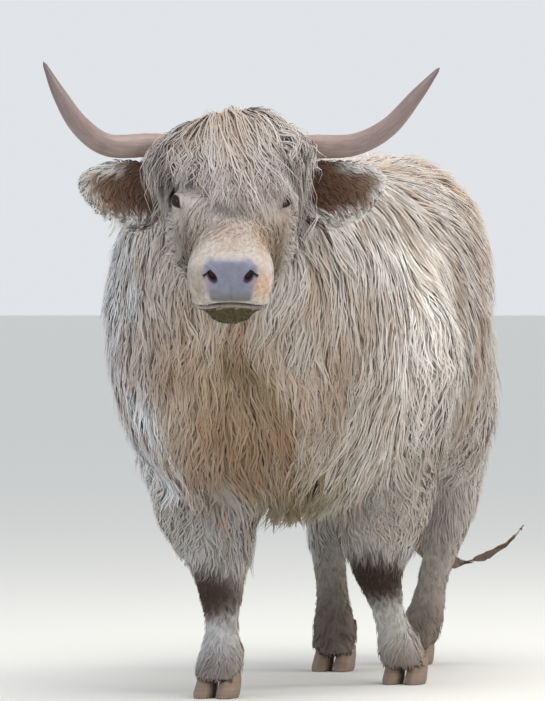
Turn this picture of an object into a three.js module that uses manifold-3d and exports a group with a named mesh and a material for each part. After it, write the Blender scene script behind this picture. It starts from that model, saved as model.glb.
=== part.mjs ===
// A highland cow, life size, walking, with her head turned a little to her left.
// Millimetres, +Z up, nose towards -Y, her left side towards +X. Every solid runs out to the coat's tips.
// Each limb is a capped cylinder drawn out along a smooth spine, and neighbours are parted by thin cuts.
import * as THREE from "three";
import { mergeVertices } from "three/addons/utils/BufferGeometryUtils.js";
import Module from "manifold-3d";

const wasm = await Module();
wasm.setup();

// Driving dimensions.
const WITHERS = 1149; // height of the coat over the withers
const BRISKET = 352; // height of the fringe under the chest
const BARREL = 344; // half the width of the barrel
const RUMP = 1270; // where the trunk ends; the shoulder stands over Y = 237
const GAP = 0.4; // thin cut between neighbours

// The head's carriage: where the poll is, how far the face turns to her left, and how far the nose dips.
const POLL = new THREE.Vector3(22, -290, 1095);
const HEAD_TURN = THREE.MathUtils.degToRad(15);
const HEAD_PITCH = THREE.MathUtils.degToRad(28);
const HEAD_LENGTH = 415; // poll to nose
const EYE_RADIUS = 18;
const EYE_SPREAD = 99; // from the middle of the head to the middle of an eye
const EYE_DOWN_FACE = 145;
const MOUTH = { deep: 84, back: 60, reach: 90, core: 58, slit: 5 }; // a closed slit round the muzzle
const NOSTRIL = { apart: 34, deep: 34, splay: 0.5 };

// The stride: how far each foot is behind its resting place, and how far out from the middle it stands.
const FORE_STRIDE = 265;
const HIND_STRIDE = 140;
const STANCE = {
  right_fore: { side: -1, back: -FORE_STRIDE, out: 72 },
  left_fore: { side: 1, back: FORE_STRIDE, out: 198 },
  right_hind: { side: -1, back: -HIND_STRIDE, out: 60 },
  left_hind: { side: 1, back: HIND_STRIDE, out: 52 },
};
const FORE_FOOT = 237; // resting place of the forefeet
const HIND_FOOT = 1023;
const ANKLE = 36; // lowest ring of a leg, inside the top of the claws
const CLAW = { length: 92, width: 44, height: 56, cleft: 5 };
const UP = new THREE.Vector3(0, 0, 1);
const AHEAD = new THREE.Vector3(0, -1, 0);
const ASTERN = new THREE.Vector3(0, 1, 0);
const LEFTWARDS = new THREE.Vector3(1, 0, 0);

const hide = new THREE.MeshStandardMaterial({ color: 0xcbb9a6, roughness: 0.9 });
const coatWhite = new THREE.MeshStandardMaterial({ color: 0xe2dad0, roughness: 0.9 });
const coatTan = new THREE.MeshStandardMaterial({ color: 0xa98467, roughness: 0.9 });
const horn = new THREE.MeshStandardMaterial({ color: 0x8d7a74, roughness: 0.45 });
const claw = new THREE.MeshStandardMaterial({ color: 0x4a3f38, roughness: 0.6 });
const eyeball = new THREE.MeshStandardMaterial({ color: 0x1a1210, roughness: 0.08 });
const udderSkin = new THREE.MeshStandardMaterial({ color: 0xc79c8c, roughness: 0.6 });

// ---- Shaping ------------------------------------------------------------------------------------------

// A rounded box section: cosine and sine drawn to the corners as square goes from 2, an ellipse, upwards.
function corner(value, square) {
  return Math.sign(value) * Math.abs(value) ** (2 / square);
}

function smoothThrough(points) {
  return new THREE.CatmullRomCurve3(points, false, "catmullrom", 0.5);
}

// A capped cylinder drawn out along stations. Each station is its centre (x, y, z) and the half sizes of the
// section there: wide to each side, over towards the way the section faces, under to the other. grow swells
// the solid. Sections are square to the spine, or all parallel where a fixed facing is given.
function drawnOut(stations, { sides, steps, square = 2.2, grow = 0, side = LEFTWARDS, face = null }) {
  const spine = smoothThrough(stations.map((s) => new THREE.Vector3(...s.at)));
  const sizes = smoothThrough(stations.map((s) => new THREE.Vector3(s.wide, s.over, s.under)));
  const geometry = new THREE.CylinderGeometry(1, 1, 1, sides, steps);
  const position = geometry.getAttribute("position");
  for (let i = 0; i < position.count; i++) {
    const t = THREE.MathUtils.clamp(0.5 - position.getY(i), 0, 1);
    const along = spine.getTangent(t);
    const across = side.clone().addScaledVector(along, -side.dot(along)).normalize();
    const facing = face ?? along.clone().cross(across);
    if (face) across.copy(side);
    const size = sizes.getPoint(t).addScalar(grow);
    const x = corner(position.getX(i), square) * size.x;
    const z = corner(position.getZ(i), square);
    const end = t === 0 ? -grow : t === 1 ? grow : 0;
    const point = spine.getPoint(t)
      .addScaledVector(across, x)
      .addScaledVector(facing, z * (z > 0 ? size.y : size.z))
      .addScaledVector(along, end);
    position.setXYZ(i, point.x, point.y, point.z);
  }
  return geometry;
}

function ellipsoid([x, y, z], [rx, ry, rz], sides) {
  return new THREE.SphereGeometry(1, sides, Math.round(sides * 0.65)).scale(rx, ry, rz).translate(x, y, z);
}

function solidOf(geometry) {
  const bare = geometry.clone();
  bare.deleteAttribute("normal");
  bare.deleteAttribute("uv");
  const merged = mergeVertices(bare, 1e-3);
  return new wasm.Manifold(new wasm.Mesh({
    numProp: 3,
    vertProperties: merged.attributes.position.array,
    triVerts: new Uint32Array(merged.index.array),
  }));
}

function geometryOf(solid) {
  const mesh = solid.getMesh();
  return new THREE.BufferGeometry()
    .setAttribute("position", new THREE.BufferAttribute(mesh.vertProperties, 3))
    .setIndex(new THREE.BufferAttribute(mesh.triVerts, 1));
}

// The two halves of a solid on either side of a plane, GAP apart. The first is the one normal points to.
function parted(solid, point, normal) {
  const reach = 4000;
  return [1, -1].map((way) => {
    const half = new THREE.BoxGeometry(reach, reach, reach).translate(0, 0, reach / 2 + GAP / 2);
    const turn = new THREE.Quaternion().setFromUnitVectors(
      new THREE.Vector3(0, 0, 1), normal.clone().normalize().multiplyScalar(way));
    return solid.intersect(solidOf(half.applyQuaternion(turn).translate(...point)));
  });
}

// Booleans leave crumbs where two skins nearly meet, so only the largest body is kept.
function largest(solid) {
  return solid.decompose().sort((a, b) => b.volume() - a.volume())[0];
}

function mesh(name, geometry, material) {
  const made = new THREE.Mesh(geometry, material);
  made.name = name;
  return made;
}

// ---- Frames: poll stands level and turned with the head, and skull also points down the face ----------

const cow = new THREE.Group();
const poll = new THREE.Group();
poll.position.copy(POLL);
poll.rotation.z = HEAD_TURN;
const skull = new THREE.Group();
skull.rotation.x = HEAD_PITCH;
poll.add(skull);
cow.add(poll);
cow.updateMatrixWorld(true);

// A geometry of the head, moved to where it stands on the cow.
function onCow(geometry, group) {
  return geometry.clone().applyMatrix4(group.matrixWorld);
}

// ---- Trunk and neck: one form from the rump to the throat, parted from withers to brisket -------------

// Each row: where it is along the trunk, top, widest height, underside and half-width.
function barrelLine() {
  const belly = BRISKET + 8;
  return [
    { x: 0, y: RUMP, top: 1070, mid: 955, low: 840, wide: 80 },
    { x: 0, y: RUMP - 35, top: 1126, mid: 925, low: 700, wide: 170 },
    { x: 0, y: RUMP - 120, top: WITHERS + 10, mid: 890, low: 585, wide: 240 },
    { x: 0, y: RUMP - 270, top: WITHERS + 18, mid: 850, low: 465, wide: 286 },
    { x: 0, y: RUMP - 440, top: WITHERS + 8, mid: 815, low: belly + 30, wide: BARREL * 0.95 },
    { x: -2, y: RUMP - 620, top: WITHERS - 2, mid: 785, low: belly + 5, wide: BARREL },
    { x: -6, y: RUMP - 820, top: WITHERS - 4, mid: 770, low: belly, wide: BARREL },
    { x: -14, y: RUMP - 1020, top: WITHERS, mid: 762, low: BRISKET + 4, wide: BARREL * 0.99 },
    { x: -22, y: RUMP - 1170, top: WITHERS + 2, mid: 765, low: BRISKET, wide: BARREL * 0.98 },
    { x: -26, y: RUMP - 1280, top: WITHERS - 2, mid: 780, low: BRISKET + 20, wide: BARREL * 0.94 },
  ];
}

function neckLine() {
  return [
    { x: -24, y: -90, top: WITHERS - 8, mid: 810, low: BRISKET + 84, wide: 290 },
    { x: -16, y: -152, top: WITHERS - 12, mid: 848, low: BRISKET + 180, wide: 246 },
    { x: -8, y: -210, top: WITHERS - 18, mid: 900, low: BRISKET + 300, wide: 194 },
    { x: 0, y: -252, top: WITHERS - 28, mid: 945, low: BRISKET + 440, wide: 134 },
  ];
}

function trunkAndNeck(grow = 0) {
  const stations = [...barrelLine(), ...neckLine()].map(({ x, y, top, mid, low, wide }) => (
    { at: [x, y, mid], wide, over: top - mid, under: mid - low }));
  return solidOf(drawnOut(stations, { sides: 20, steps: 16, square: 2.3, grow, face: UP }));
}

// ---- Legs: one table for the fore and one for the hind, swung about shoulder or hip by the stride -----

// Each row: height, how far behind the foot's resting place, how far out, half sizes across, fore and aft.
const FORELEG = {
  pivot: 840,
  foot: FORE_FOOT,
  split: 330, // above the knee
  rows: [
    { z: 950, back: 40, out: 160, across: 66, fore: 80, aft: 90 },
    { z: 855, back: 5, out: 218, across: 132, fore: 138, aft: 135 },
    { z: 745, back: -15, out: 232, across: 155, fore: 156, aft: 150 },
    { z: 635, back: -12, out: 216, across: 156, fore: 150, aft: 144 },
    { z: 470, back: 4, out: 168, across: 124, fore: 106, aft: 114 },
    { z: 362, back: 8, out: 142, across: 112, fore: 82, aft: 92 },
    { z: 296, back: 4, out: 122, across: 88, fore: 66, aft: 72 },
    { z: 250, back: 0, out: 108, across: 64, fore: 56, aft: 60 },
    { z: 222, back: -2, out: 104, across: 57, fore: 54, aft: 54 },
    { z: 156, back: 2, out: 102, across: 40, fore: 38, aft: 46 },
    { z: 116, back: 4, out: 102, across: 42, fore: 40, aft: 50 },
    { z: 84, back: -4, out: 102, across: 50, fore: 48, aft: 56 },
    { z: 52, back: -22, out: 102, across: 50, fore: 48, aft: 50 },
    { z: ANKLE, back: -28, out: 102, across: 49, fore: 45, aft: 46 },
  ],
};

const HINDLEG = {
  pivot: 840,
  foot: HIND_FOOT,
  split: 425, // above the hock
  rows: [
    { z: 980, back: 10, out: 108, across: 66, fore: 100, aft: 110 },
    { z: 855, back: -25, out: 142, across: 108, fore: 170, aft: 178 },
    { z: 705, back: -60, out: 168, across: 120, fore: 178, aft: 190 },
    { z: 565, back: -30, out: 168, across: 106, fore: 132, aft: 146 },
    { z: 455, back: 52, out: 152, across: 78, fore: 88, aft: 86 },
    { z: 380, back: 94, out: 146, across: 66, fore: 60, aft: 68 },
    { z: 306, back: 86, out: 136, across: 54, fore: 48, aft: 56 },
    { z: 212, back: 56, out: 124, across: 42, fore: 40, aft: 48 },
    { z: 148, back: 38, out: 120, across: 43, fore: 40, aft: 50 },
    { z: 97, back: 20, out: 118, across: 51, fore: 48, aft: 58 },
    { z: 54, back: -10, out: 118, across: 49, fore: 48, aft: 50 },
    { z: ANKLE, back: -18, out: 118, across: 48, fore: 45, aft: 46 },
  ],
};

// The share of the stride that a height takes: none over the pivot, all of it at the floor.
function swing(z, pivot) {
  return THREE.MathUtils.clamp(1 - z / pivot, 0, 1);
}

function legStations(leg, { side, back, out }) {
  const footOut = leg.rows.at(-1).out;
  return leg.rows.map((r) => {
    const share = swing(r.z, leg.pivot) / swing(ANKLE, leg.pivot);
    const x = side * (r.out + (out - footOut) * share ** 3);
    return { at: [x, leg.foot + r.back + back * share, r.z], wide: r.across, over: r.fore, under: r.aft };
  });
}

function legTable(name) {
  return name.endsWith("fore") ? FORELEG : HINDLEG;
}

function legSolid(name, grow) {
  const stations = legStations(legTable(name), STANCE[name]);
  return solidOf(drawnOut(stations, { sides: 10, steps: 15, square: 2.2, grow, face: AHEAD }));
}

// ---- Feet: two claws side by side and two dewclaws behind the fetlock ---------------------------------

// The outer wall of one claw, toe towards -Y, standing on a flat sole; way is 1 for her left claw.
function clawGeometry(way, grow = 0) {
  const { length, width, height, cleft } = CLAW;
  const middle = way * (cleft + width) / 2;
  const rows = [
    { z: 0, y: -8, across: 0.9, fore: 0.56, aft: 0.42 },
    { z: 10, y: -6, across: 1, fore: 0.55, aft: 0.46 },
    { z: height * 0.6, y: 10, across: 0.95, fore: 0.45, aft: 0.42 },
    { z: height, y: 22, across: 0.82, fore: 0.34, aft: 0.32 },
  ];
  const stations = rows.reverse().map((r) => ({
    at: [middle, r.y, r.z], wide: r.across * width / 2, over: r.fore * length, under: r.aft * length,
  }));
  return drawnOut(stations, { sides: 8, steps: 3, square: 2.5, grow, face: AHEAD });
}

function dewclawGeometry(way, grow = 0) {
  const stations = [
    { at: [way * 20, 66, 104], wide: 11, over: 12, under: 12 },
    { at: [way * 24, 84, 90], wide: 12, over: 11, under: 11 },
    { at: [way * 26, 102, 72], wide: 7, over: 7, under: 7 },
  ];
  return drawnOut(stations, { sides: 6, steps: 2, grow });
}

// ---- Head: skull, muzzle and jaw in one, with the nostrils, mouth and eye sockets cut in --------------

// Each row: how far down the face, the middle's depth under the brow, and half sizes wide, over and under.
function headGeometry(grow = 0) {
  const rows = [
    { down: -45, sunk: 60, wide: 60, over: 60, under: 60 },
    { down: -18, sunk: 60, wide: 95, over: 92, under: 88 },
    { down: 30, sunk: 62, wide: 118, over: 104, under: 105 },
    { down: 90, sunk: 64, wide: 128, over: 100, under: 118 },
    { down: EYE_DOWN_FACE, sunk: 64, wide: 122, over: 92, under: 122 },
    { down: 200, sunk: 60, wide: 102, over: 80, under: 122 },
    { down: 255, sunk: 56, wide: 84, over: 70, under: 114 },
    { down: 305, sunk: 52, wide: 75, over: 62, under: 110 },
    { down: 350, sunk: 50, wide: 76, over: 57, under: 114 },
    { down: HEAD_LENGTH - 28, sunk: 50, wide: 76, over: 52, under: 104 },
    { down: HEAD_LENGTH - 8, sunk: 50, wide: 66, over: 44, under: 72 },
    { down: HEAD_LENGTH + 4, sunk: 50, wide: 44, over: 28, under: 40 },
  ];
  const stations = rows.map(({ down, sunk, ...half }) => ({ at: [0, -down, -sunk], ...half }));
  return drawnOut(stations, { sides: 16, steps: 13, square: 2.3, grow, face: UP });
}

function eyeCentre(side) {
  return [side * EYE_SPREAD, -EYE_DOWN_FACE, -8];
}

// Room for the eyeball, the thin cut included.
function eyeRoom(side) {
  const room = EYE_RADIUS + GAP;
  return solidOf(ellipsoid(eyeCentre(side), [room, room, room], 10));
}

// The lids' opening, so that the eye looks out sideways and forwards.
function lidsGeometry(side) {
  return ellipsoid([side * (EYE_SPREAD + 22), -EYE_DOWN_FACE - 4, -6], [16, 17, 12], 8);
}

// A nostril opens forwards and outwards at each side of the nose pad.
function nostrilGeometry(side) {
  return ellipsoid([0, 0, 0], [10, 22, 13], 8)
    .rotateZ(-side * NOSTRIL.splay)
    .translate(side * NOSTRIL.apart, -HEAD_LENGTH, -NOSTRIL.deep);
}

// A flat disc of the mouth's plane, standing across the muzzle.
function mouthDisc(radius, thickness) {
  return solidOf(new THREE.CylinderGeometry(radius, radius, thickness, 12)
    .rotateX(Math.PI / 2)
    .translate(0, MOUTH.back - HEAD_LENGTH, -MOUTH.deep));
}

function headSolid() {
  const lips = mouthDisc(MOUTH.reach, MOUTH.slit).subtract(mouthDisc(MOUTH.core, MOUTH.slit * 4));
  let made = solidOf(headGeometry()).subtract(lips);
  for (const side of [-1, 1])
    made = made
      .subtract(solidOf(nostrilGeometry(side)))
      .subtract(eyeRoom(side))
      .subtract(solidOf(lidsGeometry(side)));
  return made;
}

// ---- Horns: level out of the poll, then up in one sweep, in the poll's level frame --------------------

// Each row: how far out and up from the poll, how far ahead, the horn's half-thickness. They aren't a pair.
const HORNS = {
  left: [
    { out: 96, up: 34, ahead: -6, r: 25 },
    { out: 165, up: 38, ahead: 0, r: 24.5 },
    { out: 248, up: 42, ahead: 22, r: 22.5 },
    { out: 316, up: 76, ahead: 42, r: 19.5 },
    { out: 374, up: 141, ahead: 40, r: 13.5 },
    { out: 421, up: 198, ahead: 22, r: 3 },
  ],
  right: [
    { out: 96, up: 36, ahead: -6, r: 25 },
    { out: 165, up: 41, ahead: 0, r: 24.5 },
    { out: 250, up: 41, ahead: 22, r: 23 },
    { out: 306, up: 80, ahead: 40, r: 20.5 },
    { out: 348, up: 144, ahead: 38, r: 14 },
    { out: 381, up: 210, ahead: 18, r: 3 },
  ],
};

function hornStations(side) {
  const rows = side > 0 ? HORNS.left : HORNS.right;
  return rows.map((s) => ({ at: [side * s.out, -s.ahead, s.up], wide: s.r, over: s.r, under: s.r }));
}

function hornGeometry(side, grow = 0) {
  return drawnOut(hornStations(side), { sides: 10, steps: 12, square: 2, grow, side: ASTERN });
}

// ---- Ears: a broad leaf held out sideways, hollowed in front ------------------------------------------

function earGeometry(side, grow = 0) {
  const rows = [
    { out: 108, up: -40, back: 22, tall: 44, thick: 26 },
    { out: 150, up: -60, back: 18, tall: 68, thick: 34 },
    { out: 190, up: -62, back: 12, tall: 72, thick: 36 },
    { out: 240, up: -54, back: 4, tall: 62, thick: 32 },
    { out: 284, up: -44, back: 0, tall: 43, thick: 24 },
    { out: 316, up: -36, back: -2, tall: 12, thick: 8 },
  ];
  const stations = rows.map(({ out, up, back, tall, thick }) => (
    { at: [side * out, back, up], wide: tall, over: thick, under: thick }));
  return drawnOut(stations, { sides: 10, steps: 7, grow, side: UP });
}

function earSolid(side) {
  const hollow = ellipsoid([side * 226, -34, -52], [52, 24, 34], 10);
  return solidOf(earGeometry(side)).subtract(solidOf(hollow));
}

// ---- Forelock: the thatch over the brow, in the skull's frame -----------------------------------------

function forelockGeometry() {
  const rows = [
    { down: -92, sunk: -14, wide: 62, over: 36, under: 40 },
    { down: -62, sunk: -16, wide: 124, over: 82, under: 60 },
    { down: -10, sunk: -14, wide: 166, over: 122, under: 80 },
    { down: 50, sunk: -6, wide: 172, over: 118, under: 90 },
    { down: 105, sunk: 4, wide: 152, over: 98, under: 76 },
    { down: 145, sunk: 14, wide: 118, over: 76, under: 54 },
    { down: 178, sunk: 18, wide: 70, over: 52, under: 34 },
  ];
  const stations = rows.map(({ down, sunk, ...half }) => ({ at: [0, -down, -sunk], ...half }));
  return drawnOut(stations, { sides: 14, steps: 6, square: 2.2, face: UP });
}

// ---- Tail: the dock hangs behind the rump and its switch swings out to her left -----------------------

function tailStations() {
  return [
    { at: [0, RUMP - 60, 1085], wide: 44, over: 32, under: 32 },
    { at: [0, RUMP + 12, 1045], wide: 38, over: 32, under: 34 },
    { at: [-3, RUMP + 44, 950], wide: 32, over: 28, under: 32 },
    { at: [-6, RUMP + 52, 820], wide: 28, over: 26, under: 28 },
    { at: [-9, RUMP + 55, 680], wide: 27, over: 26, under: 27 },
    { at: [-10, RUMP + 56, 540], wide: 32, over: 30, under: 32 },
    { at: [-8, RUMP + 56, 420], wide: 36, over: 34, under: 36 },
    { at: [6, RUMP + 55, 320], wide: 34, over: 34, under: 34 },
    { at: [44, RUMP + 54, 248], wide: 26, over: 28, under: 28 },
    { at: [110, RUMP + 52, 222], wide: 17, over: 18, under: 18 },
    { at: [180, RUMP + 50, 238], wide: 12, over: 12, under: 12 },
    { at: [238, RUMP + 48, 275], wide: 9, over: 9, under: 9 },
    { at: [286, RUMP + 46, 333], wide: 4, over: 4, under: 4 },
  ];
}

// ---- Udder: four quarters with their teats, high between the thighs -----------------------------------

const UDDER = { middle: 880, high: 440, apart: 38, teat: { high: 374, apart: 44, radius: 9, length: 26 } };

function udderSolid() {
  const { middle, high, apart, teat } = UDDER;
  const pieces = [-1, 1].flatMap((side) => [-1, 1].flatMap((end) => [
    ellipsoid([side * apart, middle + end * 42, high], [56, 64, 60], 8),
    new THREE.CapsuleGeometry(teat.radius, teat.length, 2, 6)
      .rotateX(Math.PI / 2)
      .translate(side * teat.apart, middle + end * 44, teat.high),
  ]));
  return pieces.map(solidOf).reduce((made, piece) => made.add(piece));
}

// ---- Assembly: each solid is cut clear of those that it grows from or holds ---------------------------

const LEFT_AND_RIGHT = { left: 1, right: -1 };
const toSkull = skull.matrixWorld.clone().invert();
const grownLegs = Object.keys(STANCE).map((name) => legSolid(name, GAP));

function without(solid, others) {
  return others.reduce((left, other) => left.subtract(other), solid);
}

// The horns and ears, swollen by the thin cut, in the cow's frame.
function hornsAndEars() {
  return Object.values(LEFT_AND_RIGHT).flatMap((side) => [
    onCow(hornGeometry(side, GAP), poll),
    onCow(earGeometry(side, GAP), poll),
  ]);
}

function tailSolid(grow) {
  return solidOf(drawnOut(tailStations(), { sides: 8, steps: 20, grow }));
}

function addTorso() {
  const others = [onCow(headGeometry(GAP), skull), ...hornsAndEars()].map(solidOf);
  const torso = without(trunkAndNeck(), [...others, tailSolid(GAP), ...grownLegs]);
  const [neck, trunk] = parted(torso, [0, 20, 850], new THREE.Vector3(0, -0.9, 0.43));
  cow.add(mesh("trunk", geometryOf(largest(trunk)), hide));
  cow.add(mesh("neck", geometryOf(largest(neck)), coatWhite));
  const udder = without(udderSolid(), [trunkAndNeck(GAP), ...grownLegs]);
  cow.add(mesh("udder", geometryOf(largest(udder)), udderSkin));
}

// One leg, parted above the knee or hock, with its claws and dewclaws standing in the foot's own group.
function addLeg(name) {
  const leg = legTable(name);
  const { side, back, out } = STANCE[name];
  const foot = new THREE.Group();
  foot.position.set(side * out, leg.foot + back + leg.rows.at(-1).back, 0);
  cow.add(foot);
  foot.updateMatrixWorld(true);
  const holes = [];
  for (const [hand, way] of Object.entries(LEFT_AND_RIGHT)) {
    foot.add(mesh(`claw_${name}_${hand}`, clawGeometry(way), claw));
    foot.add(mesh(`dewclaw_${name}_${hand}`, dewclawGeometry(way), claw));
    holes.push(solidOf(onCow(clawGeometry(way, GAP), foot)));
    holes.push(solidOf(onCow(dewclawGeometry(way, GAP), foot)));
  }
  const [upper, lower] = parted(without(legSolid(name, 0), holes), [0, 0, leg.split], UP);
  cow.add(mesh(`upper_leg_${name}`, geometryOf(largest(upper)), coatWhite));
  cow.add(mesh(`lower_leg_${name}`, geometryOf(largest(lower)), hide));
}

// The head with its forelock, and the horns, ears and eyes let into them.
function addHead() {
  const holes = hornsAndEars().map((geometry) => solidOf(geometry.applyMatrix4(toSkull)));
  skull.add(mesh("head", geometryOf(largest(without(headSolid(), holes))), coatWhite));
  const nape = solidOf(geometryOf(trunkAndNeck(GAP)).applyMatrix4(toSkull));
  const brow = solidOf(headGeometry(GAP));
  const eyes = Object.values(LEFT_AND_RIGHT).map(eyeRoom);
  const forelock = without(solidOf(forelockGeometry()), [brow, nape, ...holes, ...eyes]);
  skull.add(mesh("forelock", geometryOf(largest(forelock)), coatTan));
  for (const [hand, side] of Object.entries(LEFT_AND_RIGHT)) {
    poll.add(mesh(`horn_${hand}`, hornGeometry(side), horn));
    const ear = earSolid(side).subtract(solidOf(hornGeometry(side, GAP)));
    poll.add(mesh(`ear_${hand}`, geometryOf(largest(ear)), coatTan));
    const eye = mesh(`eye_${hand}`, new THREE.SphereGeometry(EYE_RADIUS, 10, 7), eyeball);
    eye.position.set(...eyeCentre(side));
    skull.add(eye);
  }
}

// The tail, parted where the switch begins.
function addTail() {
  const [dock, tailSwitch] = parted(tailSolid(0), [0, 0, 560], UP);
  cow.add(mesh("tail_dock", geometryOf(largest(dock)), hide));
  cow.add(mesh("tail_switch", geometryOf(largest(tailSwitch)), coatTan));
}

addTorso();
Object.keys(STANCE).forEach(addLeg);
addHead();
addTail();

// The part's origin is on the floor under the middle of the whole cow.
const part = new THREE.Group();
part.add(cow);
const box = new THREE.Box3().setFromObject(part, true);
cow.position.set(-(box.min.x + box.max.x) / 2, -(box.min.y + box.max.y) / 2, -box.min.z);
part.updateMatrixWorld(true);

export default part;
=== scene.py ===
import math

import bpy
import numpy as np
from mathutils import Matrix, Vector
from mathutils.bvhtree import BVHTree
from mathutils.kdtree import KDTree


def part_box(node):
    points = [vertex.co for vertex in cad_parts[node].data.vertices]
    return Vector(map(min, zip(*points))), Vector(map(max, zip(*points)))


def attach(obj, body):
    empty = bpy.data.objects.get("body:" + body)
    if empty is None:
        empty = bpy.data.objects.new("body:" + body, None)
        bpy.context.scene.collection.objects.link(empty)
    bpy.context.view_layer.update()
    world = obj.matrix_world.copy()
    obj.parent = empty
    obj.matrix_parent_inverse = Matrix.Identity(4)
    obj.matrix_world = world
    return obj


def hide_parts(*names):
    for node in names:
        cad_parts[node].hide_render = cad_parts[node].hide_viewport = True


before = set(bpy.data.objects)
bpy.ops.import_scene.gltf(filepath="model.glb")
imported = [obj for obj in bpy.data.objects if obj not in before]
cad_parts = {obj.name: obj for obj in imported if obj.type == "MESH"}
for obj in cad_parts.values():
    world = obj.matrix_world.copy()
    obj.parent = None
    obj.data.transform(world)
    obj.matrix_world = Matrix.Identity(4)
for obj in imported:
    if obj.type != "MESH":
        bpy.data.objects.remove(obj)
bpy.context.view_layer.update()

# ---- Studio ------------------------------------------------------------------------------------------------
# A pale matt floor under one big soft box overhead, a cooler fill from her right, a warmer one from her left and
# one behind her left hip. The camera stands low and far off, a little to her left of the nose.


def linear(code):
    """An sRGB hex colour as linear red, green and blue."""
    parts = [int(code[i : i + 2], 16) / 255 for i in (1, 3, 5)]
    return tuple(c / 12.92 if c <= 0.04045 else ((c + 0.055) / 1.055) ** 2.4 for c in parts)


def add_node(tree, kind, links=None, **settings):
    """One node with its settings; links give each input a number, a colour or another node's output."""
    node = tree.nodes.new(kind)
    for setting, value in settings.items():
        setattr(node, setting, value)
    for socket, value in (links or {}).items():
        if isinstance(value, bpy.types.NodeSocket):
            tree.links.new(value, node.inputs[socket])
        else:
            node.inputs[socket].default_value = value
    return node


def new_material(name):
    """An empty material with only its output node."""
    material = bpy.data.materials.new(name)
    material.use_nodes = True
    material.node_tree.nodes.clear()
    return material, material.node_tree, material.node_tree.nodes.new("ShaderNodeOutputMaterial")


bpy.ops.object.select_all(action="DESELECT")
bpy.ops.mesh.primitive_plane_add(size=400, location=(0, 0, 0))
floor = bpy.context.object
floor.name = "studio_floor"
painted_screed, tree, output = new_material("painted screed")
mottle = add_node(tree, "ShaderNodeTexNoise", {"Scale": 1.4, "Detail": 3.0})
pale = add_node(tree, "ShaderNodeMix", {"Factor": mottle.outputs["Fac"], "A": (*linear("#dedfdb"), 1),
                                        "B": (*linear("#e4e4e0"), 1)}, data_type="RGBA")
matt = add_node(tree, "ShaderNodeBsdfPrincipled", {"Base Color": pale.outputs["Result"], "Roughness": 0.9})
tree.links.new(matt.outputs["BSDF"], output.inputs["Surface"])
floor.data.materials.append(painted_screed)

world = bpy.data.worlds.new("studio_air")
world.use_nodes = True
world.node_tree.nodes["Background"].inputs["Color"].default_value = (*linear("#eef1f5"), 1)
world.node_tree.nodes["Background"].inputs["Strength"].default_value = 0.88
bpy.context.scene.world = world

# name, place, aim, width, power, colour
for name, place, aim, width, power, colour in (
    ("overhead_soft_box", (1.0, -1.4, 5.4), (0, -0.1, 0.8), 4.0, 190, "#fffaf3"),
    ("right_fill", (-5.0, -5.5, 2.2), (0, -0.3, 0.7), 3.5, 85, "#e6eeff"),
    ("left_fill", (6.0, -4.0, 2.4), (0, -0.4, 0.8), 2.6, 75, "#fff3e4"),
    ("hip_light", (4.6, 3.4, 3.6), (0, 0.3, 0.9), 2.4, 110, "#fff0dc"),
):
    lamp = bpy.data.lights.new(name, "AREA")
    lamp.size, lamp.energy, lamp.color = width, power, linear(colour)
    light = bpy.data.objects.new(name, lamp)
    light.location = place
    light.rotation_euler = (Vector(aim) - Vector(place)).to_track_quat("-Z", "Y").to_euler()
    bpy.context.scene.collection.objects.link(light)

lens = bpy.data.cameras.new("camera")
lens.lens, lens.sensor_width, lens.clip_end = 311.3, 36.0, 200.0
camera = bpy.data.objects.new("camera", lens)
camera.location = (3.2513, -12.4917, 0.843)
camera.rotation_euler = (math.radians(90 - 0.572), 0, math.radians(15))
bpy.context.scene.collection.objects.link(camera)
bpy.context.scene.camera = camera
bpy.context.scene.view_settings.view_transform = "Standard"

# ---- Skin: trunk, neck, legs, tail and udder --------------------------------------------------------------
# The living body under the coat: hide over muscle and bone, one unbroken surface. The solids reach out to the
# tips of the hair, so it is fused from them and then drawn in by the depth of the coat.

MM = 0.001
LEGS = ("right_fore", "left_fore", "right_hind", "left_hind")
BODY_NODES = ["trunk", "neck", "udder", "tail_dock", "tail_switch",
              *(f"{part}_leg_{leg}" for part in ("upper", "lower") for leg in LEGS)]
SKIN_NODES = BODY_NODES + ["head", "forelock", "ear_left", "ear_right"]
BODY_VOXEL = 12.5 * MM


def points_of(mesh):
    places = np.empty(len(mesh.vertices) * 3)
    mesh.vertices.foreach_get("co", places)
    return places.reshape(-1, 3)


def normals_of(mesh):
    ways = np.empty(len(mesh.vertices) * 3)
    mesh.vertex_normals.foreach_get("vector", ways)
    return ways.reshape(-1, 3)


def put_points(mesh, places):
    mesh.vertices.foreach_set("co", places.astype(np.float32).ravel())
    mesh.update()


def ends_of(mesh):
    ends = np.empty(len(mesh.edges) * 2, np.int32)
    mesh.edges.foreach_get("vertices", ends)
    return ends.reshape(-1, 2)


def evened(values, ends, rounds, shares=(0.5, -0.53)):
    """Values at the vertices, evened out along the edges. Each negative share undoes the shrinking."""
    near, far = ends.T
    count = len(values)
    degree = np.maximum(np.bincount(ends.ravel(), minlength=count), 1)
    for _ in range(rounds):
        for share in shares:
            total = [np.bincount(near, v[far], count) + np.bincount(far, v[near], count) for v in values.T]
            values = values + share * (np.stack(total, 1) / degree[:, None] - values)
    return values


def unit(vectors):
    return vectors / np.maximum(np.linalg.norm(vectors, axis=-1, keepdims=True), 1e-9)


def only(thing):
    """Makes one object selected and active."""
    bpy.ops.object.select_all(action="DESELECT")
    thing.select_set(True)
    bpy.context.view_layer.objects.active = thing


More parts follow.
